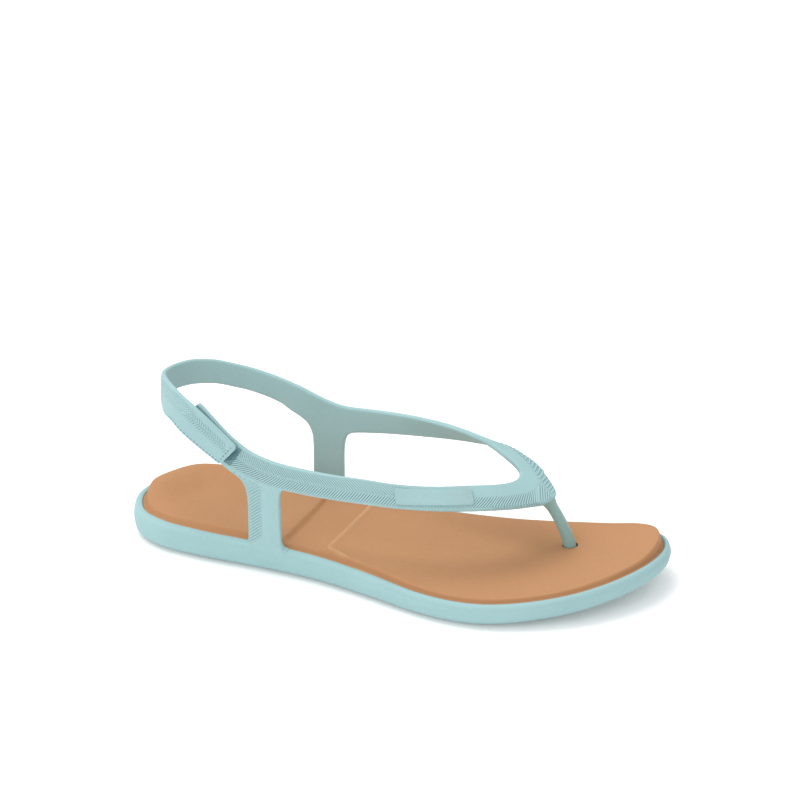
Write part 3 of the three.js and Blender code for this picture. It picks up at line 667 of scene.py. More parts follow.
sole = make_sole()
cut(sole, anchor_pocket())
stand_in(sole, ["sole_shell"], "sole_and_upper")
footbed = make_footbed()
v, f = post_tube(lambda z: POST_HOLE_RADIUS)
cut(footbed, new_object("cutter", v + [0.3, 0, 0], f, footbed_material))
stand_in(footbed, ["footbed"], "sole_and_upper")


# ---- outsole with tread lugs
LUG_PITCH, LUG_WIDTH, LUG_DEPTH, LUG_WAVE, LUG_BEND = 4.2, 2.9, 0.9, 1.5, 6.5
LUG_ROWS = np.arange(-116, 112, LUG_PITCH)
LUG_ROUND, LUG_FLARE = 0.12, 0.15
PLATE_EDGE = 1.1  # width of the raised border round the lugs


def lug_line(x, y):
    """x of a zigzag lug row at each y."""
    return x + LUG_WAVE * np.abs(((y / LUG_BEND) % 2) - 1) * 2 - LUG_WAVE


def make_tread():
    edge = TREAD_INSET + GAP
    rings = [ring(edge + more, pull, level(tread_level, lift)) for more, pull, lift in [
        (0, CENTRE, LUG_DEPTH), (0, 0.5, LUG_DEPTH), (PLATE_EDGE + 0.1, 0, LUG_DEPTH), (PLATE_EDGE, 0, 0.1),
        (PLATE_EDGE - 0.1, 0, 0), (0.3, 0, 0), (0.05, 0, 0.2), (0, 0, 0.6),
        (0, 0, TREAD_THICKNESS), (0, 0.5, TREAD_THICKNESS), (0, CENTRE, TREAD_THICKNESS),
    ]]
    parts = [(np.vstack(rings), capped_faces(len(rings), len(rings[0])))]
    inner = RIM + INWARD * (edge + PLATE_EDGE)
    half = LUG_WIDTH / 2
    side = [(half - LUG_ROUND, 0), (half, LUG_ROUND), (half + LUG_FLARE, LUG_DEPTH + 0.1)]
    profile = [(-dx, dz) for dx, dz in reversed(side)] + side
    for x0 in LUG_ROWS:
        ys = np.linspace(-60, 60, 241)
        keep = inside_outline(lug_line(x0, ys), ys, inner)
        if keep.sum() < 8:
            continue
        first, last = np.argmax(keep), len(keep) - 1 - np.argmax(keep[::-1])
        y = np.linspace(ys[first], ys[last], 60)
        x = lug_line(x0, y)
        points = np.stack([np.stack([x + dx, y, tread_level(x + dx) + dz], 1) for dx, dz in profile], 1)
        parts.append((points.reshape(-1, 3), tube_faces(len(y), len(profile))))
    v, f = joined(parts)
    return new_object("tread", v, f, tread_material, no_relief_shading(v), sharp=0.7)


def inside_outline(x, y, polygon):
    """True where a point is inside the closed polygon."""
    px, py = polygon[:, 0], polygon[:, 1]
    qx, qy = np.roll(px, -1), np.roll(py, -1)
    crossing = (py[None] > y[:, None]) != (qy[None] > y[:, None])
    with np.errstate(divide="ignore", invalid="ignore"):
        at = px[None] + (y[:, None] - py[None]) / (qy - py)[None] * (qx - px)[None]
    return (np.sum(crossing & (x[:, None] < at), 1) % 2) == 1


tread = make_tread()
cut(tread, anchor_pocket(), use_self=True)
stand_in(tread, ["outsole"], "sole_and_upper")


# ---- straps
class Strip:
    """A strap's middle surface, read by distance along its centre line."""

    STEP = 0.1

    def __init__(self, stations):
        count = (len(stations) - 1) * 80 + 1
        share = np.linspace(0, 1, count)
        upper = curve([s[0] for s in stations], centripetal=False)(share)
        lower = curve([s[1] for s in stations], centripetal=False)(share)
        centre = (upper + lower) / 2
        across = upper - lower
        half = np.linalg.norm(across, axis=1) / 2
        across = across / (2 * half[:, None])
        out = np.cross(np.gradient(centre, axis=0), across)
        out /= np.linalg.norm(out, axis=1)[:, None]
        distance = np.concatenate([[0], np.cumsum(np.linalg.norm(np.diff(centre, axis=0), axis=1))])
        self.length = distance[-1]
        self.distance, self.share, self.last = distance, share, len(stations) - 1
        self.s = np.arange(0, self.length + self.STEP, self.STEP)
        table = np.column_stack([centre, across, out, half])
        self.table = np.column_stack([np.interp(self.s, distance, c) for c in table.T])

    def at_station(self, station):
        return float(np.interp(station / self.last, self.share, self.distance))

    def half_at(self, s):
        return float(self.frame(np.array([s]))[3][0])

    def frame(self, s):
        """centre, across, out and half width at an array of distances of any shape."""
        f = np.clip(s, 0, self.length) / self.STEP
        i = np.minimum(f.astype(int), len(self.s) - 2)
        t = (f - i)[..., None]
        row = self.table[i] * (1 - t) + self.table[i + 1] * t
        return row[..., 0:3], row[..., 3:6], row[..., 6:9], row[..., 9]

    def point(self, s, w, n):
        """Point w mm across and n mm out from the middle surface at distance s."""
        centre, across, out, _ = self.frame(s)
        return centre + across * np.asarray(w)[..., None] + out * np.asarray(n)[..., None]


CORNER = np.linspace(0, np.pi / 2, 5)[1:]


def section(half, thick_out, thick_in, radius):
    """Closed cross-sections (w, n) of a strap with rounded edges; the arguments are arrays."""
    flat = half - radius
    w, n = [], []

    def add(side, reach, thick, sign, rise):
        w.append(side * (flat + radius * reach))
        n.append(sign * (thick - radius + radius * rise))

    def face(shares, thick):
        for q in shares:
            w.append(q * flat)
            n.append(thick + 0 * flat)

    face(np.linspace(1, -1, 13), thick_out)
    for a in CORNER:
        add(-1, np.sin(a), thick_out, 1, np.cos(a))
    for a in CORNER:
        add(-1, np.cos(a), thick_in, -1, np.sin(a))
    face(np.linspace(-1, 1, 13)[1:], -thick_in)
    for a in CORNER:
        add(1, np.sin(a), thick_in, -1, np.cos(a))
    for a in CORNER[:-1]:
        add(1, np.cos(a), thick_out, 1, np.sin(a))
    return np.stack(w, -1), np.stack(n, -1)


def end_round(s, length, radius, ends):
    """How much a strap shrinks near a rounded end."""
    near = np.full_like(s, radius)
    if ends[0]:
        near = np.minimum(near, s)
    if ends[1]:
        near = np.minimum(near, length - s)
    near = np.clip(near, 0, radius)
    return radius - np.sqrt(np.maximum(radius**2 - (radius - near) ** 2, 0))


EDGE_RADIUS = 0.95
END_CORNER, END_LIP = 2.0, 0.7


def strap_tube(strip, s, thickness, ends=(False, False)):
    """Vertices and faces of a plain strap over the distances s."""
    half = strip.frame(s)[3] - end_round(s, strip.length, END_CORNER, ends)
    lip = end_round(s, strip.length, END_LIP, ends)
    thick = thickness(s) - np.minimum(lip, thickness(s) - 0.25)
    w, n = section(half, thick, thick, np.minimum(EDGE_RADIUS, thick * 0.95))
    points = strip.point(s[:, None] + 0 * w, w, n)
    return points.reshape(-1, 3), tube_faces(len(s), w.shape[1])


ribbon = Strip(BAND + HEEL_STRAP + FLAP)
S = ribbon.at_station
BACK = S(33)  # where the upper and the heel piece meet, at the back of the heel
HINGE = S(30)
END = ribbon.length
END_STEPS = np.array([0.03, 0.1, 0.2, 0.45, 0.8, 1.2, 1.6])


def ribbon_thickness(s):
    return BAND_HALF + (HEEL_HALF - BAND_HALF) * smooth((s - HINGE + 6) / 12)


# Uprights by height: their two edges, and the middle surface by x where they run into the band.
RIM_AT_LEG = 13.1
OUTER_LEG = {
    "side": -1, "wall": 1.62,
    "rear": [(8, -55.6), (30, -55.4), (36, -55.6), (38.6, -56), (41.6, -56.7), (44.4, -58.2), (46.9, -61.2),
             (49, -65.6), (50.8, -68.3), (53, -70.8), (57, -75)],
    "front": [(8, -38.4), (30, -38.8), (41, -38.7), (42.6, -38.2), (43.6, -37.3), (44.4, -35.6), (46, -33),
              (50, -33), (54, -38), (57, -48)],
    "middle": [(-80, -33.3), (-72, -34), (-60, -34.45), (-50, -34.5), (-35, -34.6), (-28, -34.9)],
}
INNER_LEG = {
    "side": 1, "wall": 1.55,
    "rear": [(8, -55), (30, -54.6), (38, -54.8), (41, -55.2), (44, -56.4), (46.5, -58.2), (48.6, -61),
             (50.6, -64.6), (52.6, -68), (54, -70.2), (57, -74)],
    "front": [(8, -38.4), (30, -38.6), (38, -38.1), (41, -37.4), (43, -36.2), (44.4, -34.2), (45.6, -31),
              (50, -30), (54, -34), (57, -46)],
    "middle": [(-77, 31), (-70, 32), (-61, 33.1), (-51, 33.7), (-38, 33.9), (-28, 34.3)],
}
REAR_FILLET, FRONT_FILLET, FILLET_HEIGHT, FRONT_FILLET_HEIGHT = 3, 3.2, 3.2, 4.6
LEG_BOTTOM, LEG_TOP, LEG_END_HALF = 8.4, 56.9, 0.45


def quarter(t):
    t = np.clip(t, 0, 1)
    return 1 - np.sqrt(1 - 0.995 * t * t)


def leg_edges(leg, z):
    rear = along(leg["rear"], z) - REAR_FILLET * quarter((RIM_AT_LEG + FILLET_HEIGHT - z) / FILLET_HEIGHT)
    front = along(leg["front"], z) + FRONT_FILLET * quarter(
        (RIM_AT_LEG + FRONT_FILLET_HEIGHT - z) / FRONT_FILLET_HEIGHT)
    return rear, front


def leg_tube(leg):
    """One upright from inside the rim to inside the band, with its outer face flush with the sole's wall."""
    z = np.arange(LEG_BOTTOM, LEG_TOP, 0.4)
    rear, front = leg_edges(leg, z)
    half, centre = (front - rear) / 2, (front + rear) / 2
    out = LEG_END_HALF + (BAND_HALF - LEG_END_HALF) * smooth((LEG_TOP - z) / 5)
    foot = quarter((RIM_AT_LEG + 2.4 - z) / 2.4)
    w, n = section(half, out, out + 1.3 * foot, np.minimum(EDGE_RADIUS, out * 0.95))
    x = centre[:, None] + w
    zz = z[:, None] + 0 * w
    beyond = np.maximum(along(leg["rear"], z)[:, None] - x, x - along(leg["front"], z)[:, None])
    rim_inset = RIM_ROUND * quarter((zz - (RIM_AT_LEG - RIM_ROUND)) / RIM_ROUND)
    flush = leg["wall"] - rim_inset * smooth(beyond / 2) - 0.35 * smooth((beyond - 1.2) / 1.4)
    swell = smooth((RIM_AT_LEG + 1.6 - zz) / 3)
    wall = np.minimum(flush, n + 2) * swell * np.sign(n) * np.clip(n / out[:, None], 0, 1)
    n = np.where(n > 0, n * (1 - swell) + wall, n)
    y = along(leg["middle"], x) + leg["side"] * n
    return np.stack([x, y, zz], -1).reshape(-1, 3), tube_faces(len(z), w.shape[1])


SMOOTHING = (0.5, -0.52)  # a shrinking and a growing step


def fused(name, parts, material, voxel, rounds):
    """One skin round overlapping closed parts: voxel remesh, then smoothing that keeps the volume."""
    v, f = joined(parts)
    rough = new_object(name + "_rough", v, f, material)
    modifier = rough.modifiers.new("fuse", "REMESH")
    modifier.mode, modifier.voxel_size = "VOXEL", voxel * MM
    mesh = applied(rough)
    bpy.data.objects.remove(rough)
    co = np.empty(len(mesh.vertices) * 3)
    mesh.vertices.foreach_get("co", co)
    co = co.reshape(-1, 3)
    edges = np.empty(len(mesh.edges) * 2, int)
    mesh.edges.foreach_get("vertices", edges)
    a, b = edges.reshape(-1, 2).T
    ends, others = np.concatenate([a, b]), np.concatenate([b, a])
    degree = np.bincount(ends, minlength=len(co))[:, None]
    for step in SMOOTHING * rounds:
        mean = np.stack([np.bincount(ends, co[others, k], len(co)) for k in range(3)], 1) / degree
        co = co + step * (mean - co)
    mesh.vertices.foreach_set("co", co.ravel())
    for key in ("groove_shade", "edge"):
        mesh.attributes.new(key, "FLOAT", "POINT")
    mesh.polygons.foreach_set("use_smooth", np.ones(len(mesh.polygons), bool))
    mesh.materials.clear()
    mesh.materials.append(material)
    mesh.update()
    mesh.name = name
    return link(bpy.data.objects.new(name, mesh))


def steps(start, end, ends=()):
    s = np.unique(np.round(np.concatenate([np.arange(start, end, 0.5), [end], ends]), 4))
    return s[np.concatenate([[True], np.diff(s) > 0.02])]


FUSE_VOXEL, FUSE_ROUNDS = 0.46, 9
band_tube = strap_tube(ribbon, steps(0, BACK + 1.2, END_STEPS), ribbon_thickness, (True, False))
upper_parts = [band_tube, leg_tube(OUTER_LEG), leg_tube(INNER_LEG)]
upper = fused("strap_upper", upper_parts, strap_material, FUSE_VOXEL, FUSE_ROUNDS)
v, f = strap_tube(ribbon, steps(BACK, END, END - END_STEPS), ribbon_thickness, (False, True))
heel = new_object("strap_heel", v, f, strap_material, no_relief_shading(v), sharp=0.9)


# ---- moulded ribs
RIB_PITCH, RIB_WIDTH, RIB_HEIGHT, RIB_SINK = 1.34, 1.08, 0.4, 0.25
RIB_SAMPLES = 7
RIB_SECTION = np.array([
    (-0.5, -1), (-0.42, 0.25), (-0.3, 0.72), (-0.12, 1), (0.12, 1), (0.3, 0.72), (0.42, 0.25), (0.5, -1),
])
RIB_SHADE = np.array([1, 1, 0.7, 0, 0, 0.7, 1, 1])
RIB_END = 0.35  # height of a rib's end, as a share of the rib's
BORDER_STRIP = 0.75
TAB_END = S(3.05)
BAND_SLOPE = -0.92
MITRE_START, MITRE_END = np.array([68.0, 19.0]), np.array([78.6, 13.6])
LATERAL_LEG, MEDIAL_LEG = np.array([0.407, -0.914]), np.array([0.1, 0.995])
CHEVRONS, CHEVRON_WIDTH, CORNER_SLACK = 7, 1.25, 0.4
NOSE_PITCH, NOSE_RIB_WIDTH, NOSE_SLOPE = 2.3, 1.55, 1.2


def rib_tubes(points, normals, strength, width=RIB_WIDTH):
    """Bars along paths. points and normals: (count, samples, 3); strength: a height factor per bar."""
    tangent = np.gradient(points, axis=1)
    side = np.cross(normals, tangent)
    side /= np.linalg.norm(side, axis=2)[..., None]
    count, samples = points.shape[:2]
    taper = np.ones(samples)
    taper[[0, -1]] = RIB_END
    across = RIB_SECTION[:, 0] * width
    up = np.where(RIB_SECTION[:, 1] < 0, -RIB_SINK, RIB_SECTION[:, 1] * RIB_HEIGHT)
    lift = np.where(up < 0, up, up * np.asarray(strength)[:, None, None] * taper[None, :, None])
    wide = across[None, None] * (0.5 + 0.5 * taper)[None, :, None]
    v = points[:, :, None] + side[:, :, None] * wide[..., None] + normals[:, :, None] * lift[..., None]
    faces = []
    for k in range(count):
        faces += tube_faces(samples, len(RIB_SECTION), k * samples * len(RIB_SECTION))
    depth = np.repeat(np.broadcast_to(strength, count), samples * len(RIB_SECTION))
    return v.reshape(-1, 3), faces, depth


def function(value):
    return value if callable(value) else lambda s: value + 0 * s


def strap_ribs(starts, low, high, slope, strength, width=RIB_WIDTH, mirror=True):
    """Ribs on the outer face: one per distance in starts, between two shares of the half width.

    low, high, slope and strength are numbers or functions of the distance. Without mirror, the slope
    doesn't turn at the middle."""
    low, high, slope, strength = map(function, (low, high, slope, strength))
    room = ribbon.frame(starts)[3] - BORDER_STRIP
    q = np.linspace(0, 1, RIB_SAMPLES)
    w = (low(starts)[:, None] * (1 - q) + high(starts)[:, None] * q) * room[:, None]
    s = starts[:, None] + slope(starts)[:, None] * (np.abs(w) if mirror else -w)
    n = ribbon_thickness(s)
    half_here = ribbon.frame(s)[3] - BORDER_STRIP
    w = np.clip(w, -half_here, half_here)
    points, normals = ribbon.point(s, w, n), ribbon.frame(s)[2]
    return rib_tubes(points, normals, strength(starts), width)


def onto_band(xy):
    """Distance and across position on the outer face above points of the plan near the nose."""
    ss, ww = np.meshgrid(np.arange(S(10.5), S(20.5), 0.8), np.linspace(-1, 1, 25), indexing="ij")
    ww = ww * ribbon.frame(ss)[3]
    grid = ribbon.point(ss, ww, BAND_HALF + 0 * ss)[..., :2].reshape(-1, 2)
    nearest = np.argmin(((xy[:, None] - grid[None]) ** 2).sum(2), axis=1)
    s, w = ss.ravel()[nearest], ww.ravel()[nearest]
    small = 0.05
    for _ in range(6):
        here = ribbon.point(s, w, BAND_HALF + 0 * s)[:, :2]
        by_s = (ribbon.point(s + small, w, BAND_HALF + 0 * s)[:, :2] - here) / small
        by_w = (ribbon.point(s, w + small, BAND_HALF + 0 * s)[:, :2] - here) / small
        det = by_s[:, 0] * by_w[:, 1] - by_s[:, 1] * by_w[:, 0]
        miss = xy - here
        ds = (miss[:, 0] * by_w[:, 1] - miss[:, 1] * by_w[:, 0]) / det
        dw = (by_s[:, 0] * miss[:, 1] - by_s[:, 1] * miss[:, 0]) / det
        s, w = s + np.clip(ds, -2, 2), w + np.clip(dw, -2, 2)
    return s, w


def plan_ribs(starts, directions, width, wrap=False):
    """Ribs that run straight in plan to the strap's lower edge; with wrap, they turn over it."""
    paths, normals = [], []
    reach = np.linspace(0.25, 18, 72)
    for start, direction in zip(starts, directions):
        s, w = onto_band(start[None] + reach[:, None] * direction[None])
        inside = (w > -(ribbon.frame(s)[3] - BORDER_STRIP)) & (w < 1)
        count = len(inside) if inside.all() else int(np.argmin(inside))
        if count < 4:
            continue
        pick = np.linspace(0, count - 1, RIB_SAMPLES)
        s, w = np.interp(pick, np.arange(count), s[:count]), np.interp(pick, np.arange(count), w[:count])
        path, normal = ribbon.point(s, w, BAND_HALF + 0 * s), ribbon.frame(s)[2]
        if wrap:
            _, across, out, half = (a[-1] for a in ribbon.frame(s))
            bend = ribbon.point(s[-1], -half + 0.35, BAND_HALF - 0.12)
            foot = ribbon.point(s[-1], -half + 0.02, 0.35 * BAND_HALF)
            path = np.vstack([path, bend, foot])
            normal = np.vstack([normal, (out - across) / math.sqrt(2), -across])
        paths.append(path)
        normals.append(normal)
    return rib_tubes(np.array(paths), np.array(normals), np.ones(len(paths)), width)


def mitre_ribs():
    """Nested chevrons at the nose, along the mitre line."""
    share = (np.arange(CHEVRONS) + 0.2) / CHEVRONS
    corners = MITRE_START + (MITRE_END - MITRE_START) * share[:, None]
    legs = [np.tile(leg, (CHEVRONS, 1)) for leg in (LATERAL_LEG, MEDIAL_LEG)]
    return [plan_ribs(corners, leg, CHEVRON_WIDTH) for leg in legs]


def nose_ribs(starts):
    """Strokes that turn from the band's slope to the chevrons' outer legs."""
    points = ribbon.point(starts, -0.3 + 0 * starts, BAND_HALF + 0 * starts)[:, :2]
    reach = np.array([0, 9])
    ends = ribbon.point(starts[0] + BAND_SLOPE * reach, -reach, BAND_HALF + 0 * reach)
    first = ends[1] - ends[0]
    angles = [math.atan2(first[1], first[0]), math.atan2(LATERAL_LEG[1], LATERAL_LEG[0])]
    angle = np.interp(starts, [starts[0], corner_s], angles)
    return plan_ribs(points, np.column_stack([np.cos(angle), np.sin(angle)]), RIB_WIDTH, wrap=True)


corner_s, corner_w = (float(a[0]) for a in onto_band(MITRE_START[None]))
corner_share = corner_w / float(ribbon.frame(np.array([corner_s]))[3][0])
lateral = np.arange(TAB_END, corner_s - CORNER_SLACK, RIB_PITCH)
first_medial = corner_s + NOSE_SLOPE * corner_w + 2
medial_edge = np.arange(first_medial, S(18.9), NOSE_PITCH)
medial = np.arange(S(20.6), BACK - 0.5, RIB_PITCH)


def medial_top(s):
    """Upper end of the strokes behind the nose, falling to the band's lower edge."""
    reach = (s - first_medial) / (S(18.9) - first_medial)
    return corner_share - (corner_share + 0.85) * smooth(0.5 * reach) * 2


def rising(share):
    return lambda s: share * smooth((s - S(20.6)) / 8) + 0.05


band_ribs = [
    strap_ribs(lateral[lateral < S(12)], -0.03, -1, BAND_SLOPE, 1),
    nose_ribs(lateral[lateral >= S(12)]),
    strap_ribs(lateral[lateral < S(12.4)], 0.05, lambda s: 1 - 0.45 * smooth((s - S(9)) / 30), BAND_SLOPE,
               lambda s: 0.8 * (1 - smooth((s - S(10.2)) / 24)) + 0.04),
    *mitre_ribs(),
    strap_ribs(medial_edge, -1, medial_top, NOSE_SLOPE, lambda s: 1.05 - 0.5 * smooth((s - S(17.6)) / 14),
               width=NOSE_RIB_WIDTH, mirror=False),
    strap_ribs(medial, -0.05, -1, -BAND_SLOPE, rising(0.9)),
    strap_ribs(medial, 0.05, 1, -BAND_SLOPE, rising(0.6)),
]


LEG_PITCH, LEG_STROKE, LEG_SPINE, SPINE_GAP = RIB_PITCH * 1.16, 5.2, -47.2, 0.9
REAR_STRENGTH, FRONT_STRENGTH = 0.75, 0.2


def band_lower(first, last):
    """x and z of the band's lower edge, from one station to another."""
    s = np.arange(S(first), S(last), math.copysign(1, last - first))
    return ribbon.point(s, -ribbon.frame(s)[3], 0 * s)[:, [0, 2]]


def leg_ribs(leg, limit):
    """Strokes on an upright's outer face up to the band: strong on the rear half, faint on the front half."""
    parts = []
    z0 = np.arange(RIM_AT_LEG + 0.4, 49, LEG_PITCH)
    q = np.linspace(0, 1, RIB_SAMPLES)
    for rear_half in (True, False):
        z = z0[:, None] + (LEG_STROKE * q if rear_half else LEG_STROKE - LEG_STROKE * q)[None]
        rear, front = leg_edges(leg, z)
        if rear_half:
            x = (rear + BORDER_STRIP) * (1 - q) + (LEG_SPINE - SPINE_GAP) * q
        else:
            x = (LEG_SPINE + SPINE_GAP) * (1 - q) + (front - BORDER_STRIP) * q
        keep = (z < np.interp(x, *limit.T) - 0.2) & (z > RIM_AT_LEG + 0.3)
        points = []
        for row in range(len(z0)):
            inside = np.where(keep[row])[0]
            if len(inside) < 2:
                continue
            pick = np.linspace(inside[0], inside[-1], RIB_SAMPLES)
            xs, zs = (np.interp(pick, np.arange(RIB_SAMPLES), values[row]) for values in (x, z))
            points.append(np.stack([xs, along(leg["middle"], xs) + leg["side"] * BAND_HALF, zs], 1))
        points = np.array(points)
        normals = np.zeros_like(points)
        normals[..., 1] = leg["side"]
        strength = REAR_STRENGTH if rear_half else FRONT_STRENGTH
        parts.append(rib_tubes(points, normals, np.full(len(points), strength)))
    return parts


outer_leg_ribs = leg_ribs(OUTER_LEG, band_lower(2, 9))
inner_leg_ribs = leg_ribs(INNER_LEG, band_lower(29.5, 23))

heel_rows = np.arange(BACK + 0.5, S(38.6), RIB_PITCH)
flap_rows = np.arange(S(38.6), END - 3, RIB_PITCH)
heel_ribs = [
    strap_ribs(heel_rows, 0.05, 0.95, -BAND_SLOPE, lambda s: 0.75 - 0.15 * smooth((s - BACK) / 20)),
    strap_ribs(heel_rows, -0.05, -0.95, -BAND_SLOPE,
               lambda s: 0.6 * (1 - smooth((s - BACK - 8) / 22)) + 0.03),
    strap_ribs(flap_rows, 0.02, 0.36, 0.5, 0.75),
    strap_ribs(flap_rows, 0.42, 0.74, -0.5, 0.75),
]


def rib_object(name, parts):
    v, f = joined([(points, faces) for points, faces, _ in parts])
    shade = np.concatenate([strength for _, _, strength in parts])
    # painted shade on the rib flanks and grooves, and a painted highlight (edge) on the rib tops
    groove_shade = shade * np.tile(RIB_SHADE, len(v) // len(RIB_SHADE))
    edge = shade * np.tile(1 - RIB_SHADE, len(v) // len(RIB_SHADE))
    return new_object(name, v, f, strap_material, {"groove_shade": groove_shade, "edge": edge}, sharp=1.2)


upper_ribs = rib_object("ribs_upper", band_ribs + outer_leg_ribs + inner_leg_ribs)
heel_rib_piece = rib_object("ribs_heel", heel_ribs)
for piece in (upper, upper_ribs):
    stand_in(piece, ["upper"])
for piece in (heel, heel_rib_piece):
    stand_in(piece, ["heel_strap", "closure_flap"])


# ---- toe post
def post_radius(z):
    return 3.0 - 0.35 * float(smooth((z - 13) / 12)) + 1.1 * float(smooth((z - 33) / 6))


v, f = joined([post_tube(post_radius), anchor_disc(HEAD_RADIUS, 0, HEAD_THICKNESS, 0.25)])
post = new_object("toe_post_stem", v, f, post_material, no_relief_shading(v), sharp=0.9)
stand_in(post, ["toe_post"], "sole_and_upper")
washer_slots = frame["nodes"]["toe_post_washer"].data.materials
washer_slots.clear()
washer_slots.append(washer_material())


# ---- badge, tapes and stitches
PLATE_CORNER, PLATE_SOFT, PLATE_STEP = 0.9, 0.28, 0.5


def plate(name, nodes, span, width, base, thickness, material, body):
    """A thin plate on the ribbon: span in distance, width in shares of the half width."""
    s0, s1 = span
    sign = 1 if base > 0 else -1
    length, corner, soft = s1 - s0, PLATE_CORNER, PLATE_SOFT
    ends = corner * END_STEPS / 2
    stops = np.unique(np.concatenate([np.arange(0, length, PLATE_STEP), [length], ends, length - ends]))
    ring_points = []
    for ds, h in zip(stops, ribbon.frame(s0 + stops)[3]):
        near = min(ds, length - ds, corner)
        narrow = corner - math.sqrt(max(corner**2 - (corner - near) ** 2, 0))
        drop = max(0.0, soft - min(ds, length - ds))
        top = thickness - (soft - math.sqrt(max(soft**2 - drop**2, 0)))
        w0, w1 = width[0] * h + narrow, width[1] * h - narrow
        side = [(0, 0), (0, top - soft), (0.09 * soft, top - 0.6 * soft), (0.3 * soft, top - 0.3 * soft)]
        side.append((soft, top))
        profile = [(w0 + a, b) for a, b in side]
        profile += [(w0 + soft + (w1 - w0 - 2 * soft) * q, top) for q in (0.25, 0.5, 0.75)]
        profile += [(w1 - a, b) for a, b in reversed(side)]
        profile += [(w0 + (w1 - w0) * q, 0) for q in (0.75, 0.5, 0.25)]
        w, n = np.array(profile).T
        ring_points.append(ribbon.point(np.full(len(w), s0 + ds), w, base + sign * n))
    v = np.vstack(ring_points)
    faces = tube_faces(len(stops), len(ring_points[0]))
    piece = new_object(name, v, faces, material, no_relief_shading(v), sharp=1.0)
    stand_in(piece, nodes, body)


plate("badge_plate", ["strap_badge"], (S(8.95), S(11.1)), (-0.72, 0.62), BAND_HALF - 0.1, 0.95,
      badge_material, "sole_and_upper")

HOOK_SPAN = (S(0.2), S(2.92))
LOOP_SPAN = (S(39.05), S(41.8))
PAD_ACROSS = (-0.84, 0.84)
HOOK_ROW, HOOK_COLUMN, HOOK_HEIGHT, HOOK_LEAN, HOOK_HALF = 0.95, 0.9, 0.62, 0.2, 0.11
HOOK_PATH = [(0, 0), (0.02, 0.45), (0.1, 0.75), (0.3, 0.92), (0.5, 0.8)]  # along the strap and up


def hooks(span, base, seed):
    """Rows of small hooks of a hook tape."""
    random = np.random.default_rng(seed)
    parts = []
    foot_s, foot_w = HOOK_HALF * np.array([(-1, -1), (1, -1), (1, 1), (-1, 1)]).T
    for s in np.arange(span[0] + 0.6, span[1] - 0.5, HOOK_ROW):
        reach = ribbon.half_at(s) * PAD_ACROSS[1] - 0.6
        for w in np.arange(-reach, reach, HOOK_COLUMN):
            lean = random.uniform(-HOOK_LEAN, HOOK_LEAN, 2)
            turn = random.choice([-1, 1])
            rows = []
            for x, z in np.array(HOOK_PATH) * [turn, HOOK_HEIGHT]:
                ww = w + lean[1] * z + foot_w
                rows.append(ribbon.point(s + x * 0.7 + lean[0] * z + foot_s, ww, base + z + 0.0 * ww))
            parts.append((np.vstack(rows), tube_faces(len(rows), 4)))
    return parts


plate("hook_base", ["hook_pad"], HOOK_SPAN, PAD_ACROSS, BAND_HALF - 0.1, 0.45, hook_material,
      "sole_and_upper")
v, f = joined(hooks(HOOK_SPAN, BAND_HALF + 0.3, 5))
stand_in(new_object("hook_pile", v, f, hook_material), ["hook_pad"], "sole_and_upper")
plate("loop_base", ["loop_pad"], LOOP_SPAN, PAD_ACROSS, -HEEL_HALF + 0.1, 0.7, loop_material,
      "flap")
STITCH_LENGTH, STITCH_GAP, STITCH_RADIUS = 1.3, 0.75, 0.34


def stitches(path, base, sign):
    """Separate stitches along a path of (distance, across in mm)."""
    path = np.array(path, float)
    legs = np.concatenate([[0], np.cumsum(np.linalg.norm(np.diff(path, axis=0), axis=1))])
    count = int(legs[-1] / (STITCH_LENGTH + STITCH_GAP))
    pitch = legs[-1] / count
    turn = np.linspace(0, 2 * np.pi, 8, endpoint=False)
    q = np.linspace(0, 1, 7)
    lift = -0.22 + 0.3 * np.sin(np.pi * q)
    thick = STITCH_RADIUS * (0.55 + 0.45 * np.sin(np.pi * q))
    parts = []
    for k in range(count):
        d = k * pitch + STITCH_GAP / 2 + q * (pitch - STITCH_GAP)
        s, w = np.interp(d, legs, path[:, 0]), np.interp(d, legs, path[:, 1])
        along_s, along_w = np.gradient(s), np.gradient(w)
        size = np.hypot(along_s, along_w)
        out, up = thick[:, None] * np.cos(turn), thick[:, None] * np.sin(turn)
        ss = s[:, None] - (along_w / size)[:, None] * out
        ww = w[:, None] + (along_s / size)[:, None] * out
        points = ribbon.point(ss, ww, base + sign * (lift[:, None] + up))
        parts.append((points.reshape(-1, 3), tube_faces(len(q), len(turn))))
    return parts


def stitch_path(s0, s1, low, high, closed):
    """Path of a stitch row: along the low edge, across the end and back along the high edge."""
    forward, back = np.linspace(s0, s1, 40), np.linspace(s1, s0, 40)
    points = [(s, low * ribbon.half_at(s)) for s in forward]
    points += [(s, high * ribbon.half_at(s)) for s in (back if closed else back[:1])]
    return points + points[:1] if closed else points


def stitch_object(name, path, base, sign, node, body):
    v, f = joined(stitches(path, base, sign))
    stand_in(new_object(name, v, f, thread_material), [node], body)


stitch_object("stitch_flap", stitch_path(S(37.6), END - 1.7, -0.84, 0.82, False), HEEL_HALF, 1,
              "flap_stitching", "flap")
stitch_object("stitch_tab", stitch_path(2.2, S(3.1), -0.78, 0.78, True), -BAND_HALF, -1,
              "tab_stitching", "sole_and_upper")


# ---- points to metres, and the strap pieces' transforms baked
def row_point(x, y, z):
    return tuple((np.array([x, y, z]) + ORIGIN) * MM)


for piece in (upper, upper_ribs):
    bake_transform(piece)
for piece in (heel, heel_rib_piece):
    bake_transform(piece)


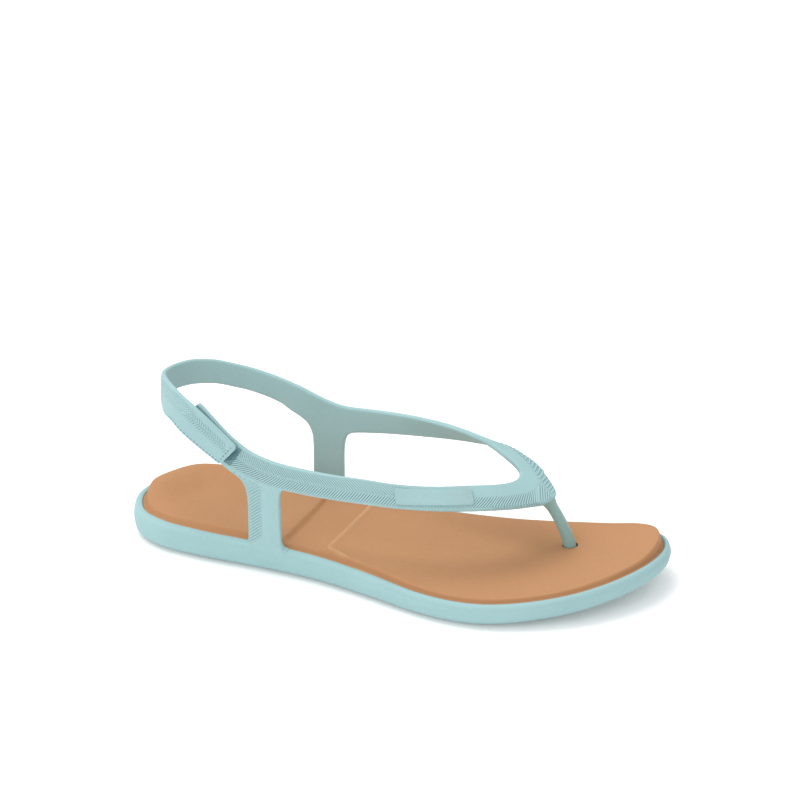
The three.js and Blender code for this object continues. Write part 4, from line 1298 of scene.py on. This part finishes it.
# ---- floor, lights and camera
def floor():
    mesh = bpy.data.meshes.new("floor")
    size = 6
    corners = [(-size, -size, 0), (size, -size, 0), (size, size, 0), (-size, size, 0)]
    mesh.from_pydata(corners, [], [(0, 1, 2, 3)])
    material = Material("floor", 0.9, 0.1)
    material.shader.inputs["Base Color"].default_value = (0.95, 0.94, 0.94, 1)
    material.shader.inputs["Emission Color"].default_value = (1, 0.97, 0.96, 1)
    material.shader.inputs["Emission Strength"].default_value = 0.13
    mesh.materials.append(material.material)
    obj = link(bpy.data.objects.new("floor", mesh))
    obj.location.z = -0.0004


def area(name, place, target, size, power, colour=(1, 1, 1)):
    light = bpy.data.lights.new(name, "AREA")
    light.shape, light.size, light.energy, light.color = "SQUARE", size, power, colour
    obj = link(bpy.data.objects.new(name, light))
    obj.location = place
    obj.rotation_mode = "QUATERNION"
    obj.rotation_quaternion = (Vector(target) - Vector(place)).to_track_quat("-Z", "Y")


def world(strength):
    w = bpy.data.worlds.new("studio")
    bpy.context.scene.world = w
    w.use_nodes = True
    background = w.node_tree.nodes["Background"]
    background.inputs["Color"].default_value = (1, 1, 1, 1)
    background.inputs["Strength"].default_value = strength


floor()
world(0.86)
area("key", (-0.45, 0.05, 1.4), (0, 0, 0.02), 1.0, 10.5)
area("fill", (-0.3, -1.35, 0.8), (0, 0, 0.03), 1.4, 5)

camera = link(bpy.data.objects.new("camera", bpy.data.cameras.new("camera")))
camera.data.lens, camera.data.sensor_width = 117, 36
camera.data.clip_start, camera.data.clip_end = 0.05, 20
AZIMUTH, ELEVATION, CAMERA_PLACE = math.radians(24), math.radians(24), (446.6, -990, 565.1)
level_share = math.cos(ELEVATION)
back = Vector((math.sin(AZIMUTH) * level_share, -math.cos(AZIMUTH) * level_share, math.sin(ELEVATION)))
camera.location = row_point(*CAMERA_PLACE)
camera.rotation_mode = "QUATERNION"
camera.rotation_quaternion = (-back).to_track_quat("-Z", "Y")
bpy.context.scene.camera = camera
bpy.context.scene.view_settings.view_transform = "Standard"
